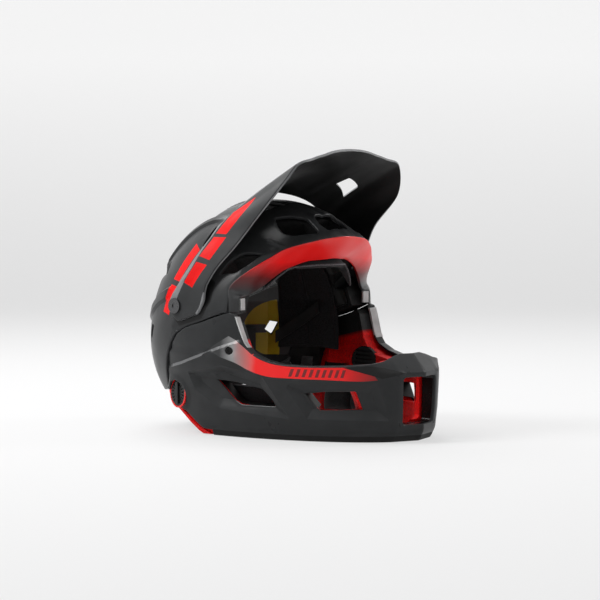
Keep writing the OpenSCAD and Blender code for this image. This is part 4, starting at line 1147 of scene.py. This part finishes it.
class Ruled:
    """A surface between two edge lines, laid out flat: along its middle, then across it."""

    def __init__(self, first, second, lift=None):
        self.a, self.t = spline(both_halves(first))
        self.b, _ = spline(both_halves(second))
        self.length = walked((self.a + self.b) / 2)
        self.width = np.linalg.norm(self.b - self.a, axis=1)
        self.whole = self.length[-1]
        self.lift = lift

    def edge_at(self, line, u):
        return np.stack([stretch(u, self.length, column) for column in line.T], 1)

    def at(self, uv):
        u = uv[:, 0]
        s = (uv[:, 1] / stretch(u, self.length, self.width) + 0.5)[:, None]
        p = self.edge_at(self.a, u) * (1 - s) + self.edge_at(self.b, u) * s
        return self.lift(p, s[:, 0]) if self.lift else p

    def uv(self, ts):
        """Points given as (station, share across)."""
        t, share = np.asarray(ts, float).T
        u, width = np.interp(t, self.t, self.length), np.interp(t, self.t, self.width)
        return np.stack([u, (share - 0.5) * width], 1)

    def line(self, t0, t1, share, count):
        return self.uv([(t, share) for t in np.linspace(t0, t1, count)])

    def flipped(self, line):
        """A flat line's mirror image, in the opposite direction."""
        return (np.asarray(line) * (-1, 1) + (self.whole, 0))[::-1]

    def outwards(self, centre=(0, 0, 130)):
        """1 where the flat layout's own normal points away from the head, else -1."""
        at = np.array([[self.whole / 2, 0.0]])
        return float(np.sign(normals_of(self.at, at)[0] @ (self.at(at)[0] - centre)))

    def near(self, points, axes, u_range, v_range):
        """The flat place whose position agrees best with each point along the given axes."""
        u, v = np.meshgrid(np.arange(*u_range, 0.8), np.arange(*v_range, 0.8))
        grid = np.stack([u.ravel(), v.ravel()], 1)
        place = self.at(grid)[:, axes]
        e = 0.2
        out = []
        for q in np.asarray(points, float):
            at = grid[np.argmin(np.linalg.norm(place - q, axis=1))]
            for _ in range(3):
                probe = self.at(np.array([at, at + (e, 0), at + (0, e)]))[:, axes]
                step, *_ = np.linalg.lstsq((probe[1:] - probe[0]).T / e, q - probe[0], rcond=None)
                at = at + np.clip(step, -1, 1)
            out.append(at)
        return np.array(out)


def lofted(name, body, rings, material, closed=False, smooth_angle=40.0):
    """A solid skin over cross-sections that all have as many points, closed into a ring or capped."""
    rings = np.asarray(rings, float)
    n, m = rings.shape[:2]
    faces = []
    for i in range(n if closed else n - 1):
        a, b = i * m, (i + 1) % n * m
        for j in range(m):
            k = (j + 1) % m
            faces.append((a + j, b + j, b + k, a + k))
    if not closed:
        faces += [tuple(range(m)), tuple(range(n * m - 1, (n - 1) * m - 1, -1))]
    obj = make_object(name, rings.reshape(-1, 3), faces, [material], body, smooth_angle)
    face_outwards(obj)
    return obj


def closed_tube(name, body, line, r, material, sides=8):
    """A round tube along a closed line, with cross directions that are carried along without twist."""
    tang = unit(np.roll(line, -1, 0) - np.roll(line, 1, 0))
    a = np.cross(tang[0], (0.3, 0.5, 0.8))
    side = []
    for t in tang:
        a = unit(a - t * (a @ t))
        side.append(a)
    side = np.array(side)[:, None]
    other = np.cross(tang, side[:, 0])[:, None]
    ang = np.linspace(0, 2 * math.pi, sides, endpoint=False)[:, None]
    rings = line[:, None] + r * (np.cos(ang) * side + np.sin(ang) * other)
    return lofted(name, body, rings, material, closed=True, smooth_angle=60)


def join_into(target, others):
    """Add the other objects' meshes, with their materials, to the target and remove them."""
    looks = target.data.materials
    bm = bmesh.new()
    bm.from_mesh(target.data)
    for o in others:
        mesh = o.data
        for m in mesh.materials:
            if m.name not in looks:
                looks.append(m)
        first = len(bm.faces)
        bm.from_mesh(mesh)
        bm.faces.ensure_lookup_table()
        for f in bm.faces[first:]:
            f.material_index = looks.find(mesh.materials[f.material_index].name)
        bpy.data.objects.remove(o)
        bpy.data.meshes.remove(mesh)
    bm.to_mesh(target.data)
    bm.free()
    return target


# The visor: edges and window as (x, y, z), the lug as (y, z), the rest as (station, share across)

VISOR_REAR = [[-115, 27, 119], [-115, 28, 126], [-114.4, 24, 140], [-110, 15, 156], [-103, 4, 175],
              [-95, -5, 190], [-82, -7, 205], [-60, -9, 221], [-42, -9.5, 230], [-24, -4, 236], [0, 2, 239]]
VISOR_FRONT = [[-115, -3, 120], [-115, -8, 127], [-114, -13.5, 143], [-108, -24, 164], [-101.5, -41, 184],
               [-96, -56, 203], [-94, -86, 234], [-76, -102, 263], [-52, -103, 271], [-26, -103, 278],
               [0, -103, 280]]
VISOR_LUG = [[-14.8, 142], [-14.5, 133], [-6.5, 119.5], [20, 111.5], [31, 122.5], [31, 128]]
VISOR_CREASE = [[0.6, 0.1], [1.4, 0.17], [2, 0.2], [2.65, 0.17], [3.3, 0.15], [4, 0.09], [4.6, 0.05],
                [5.2, 0.05], [5.9, 0.07], [6.43, 0.14], [6.6, 0.32], [6.75, 0.55], [6.87, 0.78], [7, 1.0]]
VISOR_HOLE = [[46.0, -44.0, 245.0], [49.8, -60.3, 251.3], [69.3, -56.5, 241.7], [69.0, -35.0, 230.3]]
VISOR_STRIPES = [
    [(5.3, 0.10), (6.35, 0.16), (6.5, 0.5), (5.05, 0.42)],
    [(3.9, 0.12), (5.1, 0.1), (4.85, 0.5), (3.55, 0.55)],
    [(2.5, 0.2), (3.6, 0.16), (3.3, 0.6), (2.15, 0.58)],
    [(7.5, 0.08), (8.3, 0.08), (9.1, 0.9), (8.5, 0.9)],
    [(8.75, 0.1), (9.0, 0.1), (9.6, 0.88), (9.4, 0.88)],
]
CHANNEL_EDGE, LAST_STATION = 8.1, 20
BUSHING_R = 6.0


def visor_lift(p, s):
    """The ruled surface crowned between its edges."""
    p = p.copy()
    p[:, 2] += 10.0 * np.clip(s * (1 - s), 0, 1) * smooth(90, 50, np.abs(p[:, 0]))
    return p


def make_visor():
    sheet = Ruled(VISOR_REAR, VISOR_FRONT, visor_lift)
    middle = sheet.whole / 2
    front = sheet.line(10, 2.25, 1, 60)
    rear = sheet.line(2.15, 10, 0, 60)
    lug_room = ((-25, 45), (-40, 40))
    lug = sheet.near(VISOR_LUG, [1, 2], *lug_room)
    lug = rounded(np.vstack([front[-1:], lug, rear[:1]]), 3.0)[5:-5]
    half = np.vstack([front, lug, rear])
    outline = np.vstack([half, sheet.flipped(half)[1:-1]])
    bore = sheet.near(circle(PIVOT, BUSHING_R, 23), [1, 2], *lug_room)
    window = rounded(sheet.near(mirrored(VISOR_HOLE), [0, 1, 2], (60, middle), (-70, 70)), 2.5)
    holes = [bore, sheet.flipped(bore), window, sheet.flipped(window)]
    crease = sheet.uv(VISOR_CREASE)
    below = np.vstack([crease, sheet.line(7, 0, 1.06, 40), [[-30, 40], [-30, -40], [-2, -20]]])
    regions = [(below, "visor_side"), (sheet.flipped(below), "visor_side")]
    for corners in VISOR_STRIPES:
        stripe = sheet.uv(densify(corners, 0.25))
        regions += [(stripe, "red"), (sheet.flipped(stripe), "red")]
    creases = [crease, sheet.flipped(crease)]
    for t in (CHANNEL_EDGE, LAST_STATION - CHANNEL_EDGE):
        creases.append(sheet.uv([(t, s) for s in np.linspace(0, 1, 30)]))
    channel_half = middle - sheet.uv([(CHANNEL_EDGE, 0)])[0, 0]

    def relief(uv, p):
        """A ridge along the crease, lower at the lugs, and a shallow channel along the middle."""
        near = np.min([distance(c, uv, closed=False) for c in creases[:2]], axis=0)
        ridge = np.where(p[:, 2] > 150, 1.5, 0.6) * (1 - soft_ramp(near, 13.0))
        channel = 1.04 * soft_ramp(channel_half - np.abs(uv[:, 0] - middle), 9.0)
        return ridge - channel * smooth(-55, -33, uv[:, 1])

    # Outside, the visor's top is a lighter grey, painted light; below the crease it keeps its own dark grey.
    looks = ["visor_top_painted_light", "visor_side", "red", "visor_under"]
    piece = trimmed_sheet("visor_peak", "visor_body", sheet.at, outline, looks, "visor_under", 3.2, VISOR_T,
                          0.9, holes, regions, creases, relief, outwards=sheet.outwards())
    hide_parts("visor")


# The brow rim

RIM_OUTER = [[-106, -42, 122], [-105, -41, 136], [-102.5, -39.5, 144], [-97.7, -45, 152], [-87, -59, 164],
             [-75, -69, 173], [-62.6, -78, 181], [-38, -93, 188], [-19, -98, 190.8], [0, -101, 192]]
RIM_INNER = [[-98, -46.5, 122], [-97.5, -46.5, 136], [-87, -47.5, 138], [-78, -52, 143], [-70, -57, 149],
             [-60, -62, 157], [-50, -66.5, 163], [-30, -74, 169.5], [-15, -80.5, 171], [0, -83, 172]]
RIM_LIP, RIM_BEVEL, RIM_TUCK = 0.9, 0.13, 4.0


def make_brow_rim():
    sheet = Ruled(RIM_OUTER, RIM_INNER)
    outline = np.vstack([sheet.line(0, 18, 0, 200), sheet.line(18, 0, 1, 200)])
    bevel_line = sheet.line(0.3, 17.7, RIM_BEVEL, 150)

    def relief(uv, p):
        """A bevel along the outer edge, and a swell that fades out at the ends."""
        t = np.interp(uv[:, 0], sheet.length, sheet.t)
        s = uv[:, 1] / np.interp(uv[:, 0], sheet.length, sheet.width) + 0.5
        bevel = -0.9 * (1 - np.clip(s / RIM_BEVEL, 0, 1))
        swell = 1.3 * np.clip(4 * (s - RIM_BEVEL) * (1 - s), 0, 1)
        return bevel + swell * smooth(0.5, 3, t) * smooth(17.5, 15, t)

    def edge(uv):
        """Rolled edges; the outer one runs on inwards under the shell."""
        return rolled_edge(RIM_LIP, RIM_T)[:-1] + [(np.where(uv[:, 1] < 0, -RIM_TUCK, RIM_LIP), RIM_T)]

    looks = ["brow", "black_foam"]
    piece = trimmed_sheet("eyeport_rim", "helmet_body", sheet.at, outline, looks, "black_foam", 2.6, RIM_T,
                          RIM_LIP, creases=[bevel_line], relief=relief, edge=edge, outwards=sheet.outwards())
    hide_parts("brow_rim")


# Rubber edge under the chin bar: its section as (height, depth under the bar's surface)

TRIM_SECTION = [(0.5, 0.45), (0.1, 1.0), (0.0, 1.9), (0.4, 2.6), (2.0, 2.7), (5.6, 2.7), (6.0, 2.4),
                (6.0, 0.5), (5.7, 0.1), (3.4, 0.0), (1.6, 0.12)]


def make_chin_trim():
    right = np.concatenate([np.linspace(3.2, 74, 120), np.linspace(74.2, 90, 16)])
    angles = np.concatenate([right, (180 - right[:-1])[::-1]])
    rings = [[bar_pt(t, z, off) for z, off in TRIM_SECTION] for t in angles]
    piece = lofted("chin_edge_trim", "chin_bar", rings, MAT["rubber"])
    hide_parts("chin_trim")


# Cushions in the hollow and on the chin bar

HOLLOW_OFF = SHELL_T + SEAT_GAP + FOAM_T
PAD_SEAT = 2 * SEAT_GAP + SLIP_T + 1.5
CHEEK_SEAT = BAR_T + BAR_FOAM_T + 2 * SEAT_GAP + 0.9
CHEEK_THICK = 12.0
PAD_PULL, SEAM_DEEP, PIPING_R, PIPING_STEP = 0.02, 0.42, 0.9, 0.8


def hollow(az, el, off):
    """A point of the foam's inner surface, moved inwards by off."""
    c, s = np.cos(np.radians(az)), np.sin(np.radians(az))
    e = np.where(el > 0, np.cos(np.radians(el)), 1 - 0.11 * (el / 45) ** 2)
    out = HOLLOW_OFF + off
    x = (HALF_W - out) * e * c
    y = (np.where(s < 0, FRONT - 5, REAR) - out) * e * s
    z = WIDE_Z + np.where(el > 0, CROWN - out, 100.0) * np.sin(np.radians(el))
    return np.stack(np.broadcast_arrays(x, y, z), -1)


def crowned(u):
    """0 at both ends and 1 between them, with round shoulders."""
    return np.sqrt(np.maximum(0, 1 - np.abs(2 * u - 1) ** 4))


def spaced(n):
    """Shares from 0 to 1 that crowd together at both ends."""
    k = np.linspace(0, 1, n + 1)
    return 0.55 * k + 0.45 * (0.5 - 0.5 * np.cos(math.pi * k))


def cushion(name, body, node, at, thick, n=(60, 34), across=(0.5,), along_seams=(), rim=1.0, narrow=0.035,
            pipe_look="piping", fill=0.8):
    """A crowned pad on at(u, v, height): drawn-in sides, sewn channels and piping round its edge."""
    u, v = np.meshgrid(spaced(n[0]), spaced(n[1]), indexing="ij")
    groove = np.ones_like(u)
    for share, seams, width in ((u, across, narrow), (v, along_seams, narrow * 1.6)):
        for s in seams:
            groove *= 1 - SEAM_DEEP * np.exp(-((share - s) / width) ** 2)
    puckers = 1 + 0.02 * np.sin(40 * u + 3 * v) * np.exp(-((groove - 0.8) / 0.2) ** 2)
    pu = 0.5 + (u - 0.5) * (1 - PAD_PULL * 4 * v * (1 - v))
    pv = 0.5 + (v - 0.5) * (1 - 2 * PAD_PULL * 4 * u * (1 - u))
    top = at(pu, pv, rim + thick * crowned(u) * crowned(v) * groove * puckers).reshape(-1, 3)
    low = at(pu, pv, np.zeros_like(u)).reshape(-1, 3)
    count = len(top)
    grid = np.arange(count).reshape(u.shape)
    tiles = np.stack([grid[:-1, :-1], grid[1:, :-1], grid[1:, 1:], grid[:-1, 1:]], -1).reshape(-1, 4)
    edge = np.concatenate([grid[:, 0], grid[-1, 1:], grid[-2::-1, -1], grid[0, -2:0:-1]])
    after = np.roll(edge, -1)
    walls = np.stack([edge, count + edge, count + after, after], 1)
    faces = np.vstack([tiles, count + tiles[:, ::-1], walls]).tolist()
    obj = make_object(name, np.vstack([top, low]), faces, [MAT["pad"]], body, 70)
    face_outwards(obj)
    line = (top[edge] + low[edge]) / 2
    keep = [line[0]]
    for p in line[1:]:
        if np.linalg.norm(p - keep[-1]) > PIPING_STEP:
            keep.append(p)
    join_into(obj, [closed_tube(name + "_piping", body, np.array(keep), PIPING_R, MAT[pipe_look])])
    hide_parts(node)


def hollow_cushion(name, node, az, el, thick, side=1, base=((0, 0),), taper=0.0, **more):
    """A cushion in the hollow, between two azimuths and two elevations above the base line."""
    def at(u, v, h):
        a = az[0] + (az[1] - az[0]) * u
        v = 0.5 + (v - 0.5) * (1 - taper * np.abs(2 * u - 1) ** 8)
        p = hollow(a, el[0] + (el[1] - el[0]) * v + along(base, a), PAD_SEAT + h)
        return p if side > 0 else mirrored(p)
    cushion(name, "helmet_body", node, at, thick, **more)


BROW_BASE = [[204, 17], [210, 26], [222, 38], [238, 43.5], [302, 43.5], [318, 38], [330, 26], [336, 17]]


def make_pads():
    thirds = (0.33, 0.67)
    hollow_cushion("crown_pad_rear", "crown_pad", (20, 160), (56, 72), 6.0, across=thirds, n=(80, 24))
    hollow_cushion("crown_pad_front", "crown_pad", (200, 340), (56, 72), 6.0, across=thirds, n=(80, 24))
    hollow_cushion("brow_cushion", "brow_pad", (209, 331), (0, 9.5), 7.0, base=curve_through(BROW_BASE, 60),
                   across=(0.2, 0.5, 0.8), n=(150, 24), narrow=0.012, taper=0.8)
    for side, tag in ((-1, "right"), (1, "left")):
        hollow_cushion("side_cushion_" + tag, "side_pad_" + tag, (-8, 34), (-9, 46), 5.0, side,
                       along_seams=(0.5,), n=(60, 60), pipe_look="pad")

        def at(u, v, h, side=side):
            th = 1 + 30 * u
            return bar_pt(th if side < 0 else 180 - th, 13 + 37 * v, CHEEK_SEAT + h)
        cushion("cheek_cushion_" + tag, "chin_bar", "cheek_pad_" + tag, at, CHEEK_THICK, n=(50, 40), rim=1.2)
    hollow_cushion("nape_cushion", "nape_pad", (62, 118), (22, 48), 7.0, across=thirds)


# Chin straps

WEB_W = 15.0
# The webbing's section as (share of the half width, height)
WEB_SECTION = [(-1, 0.3), (-0.97, 0.05), (0.97, 0.05), (1, 0.3), (1, 1.2), (0.97, 1.45), (-0.97, 1.45),
               (-1, 1.2)]
# Where the straps start: azimuth, elevation and depth inside the foam's inner surface
FRONT_ANCHOR, REAR_ANCHOR = (14, -18.5, 5.8), (29, -21, 6.6)
STRAP_DIVIDER = np.array([58, 12, 34.0])
STRAP_TO_BUCKLE = [(51, -5, 22), (38, -28, 14), (27, -42, 10.8), (18.5, -46, 9.6)]


def strap(name, path, across):
    """Webbing along a path, with its width in one direction."""
    line = curve_through(path, 70)
    n = unit(np.cross(np.gradient(line, axis=0), across))
    rings = np.stack([line + across * s * WEB_W / 2 - n * h for s, h in WEB_SECTION], 1)
    return lofted(name, "helmet_body", rings, MAT["webbing"], smooth_angle=50)


def make_straps():
    a, b, d = hollow(*FRONT_ANCHOR), hollow(*REAR_ANCHOR), STRAP_DIVIDER
    front = [a + (0.6, -1, 7), a, (a + d) / 2 + (1, 0, 0), d] + STRAP_TO_BUCKLE
    rear = [b + (0.4, 0, 7), b, (b + d) / 2 - (1, 0, 0), d + (-3.2, 4, 3)]
    legs = [(front, np.array([0, 1.0, 0])), (rear, np.array([0, 0.9, -0.44]))]
    for side, tag in ((1, "left"), (-1, "right")):
        parts = [strap(f"strap_{tag}_{k}", np.array(path) * (side, 1, 1), across * side)
                 for k, (path, across) in enumerate(legs)]
        piece = join_into(parts[0], parts[1:])
        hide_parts("chin_strap_" + tag)


make_camera()
make_stage()
dress_nodes()
make_outer_shell()
make_chin_shell()
make_visor()
make_brow_rim()
make_chin_trim()
make_pads()
make_straps()
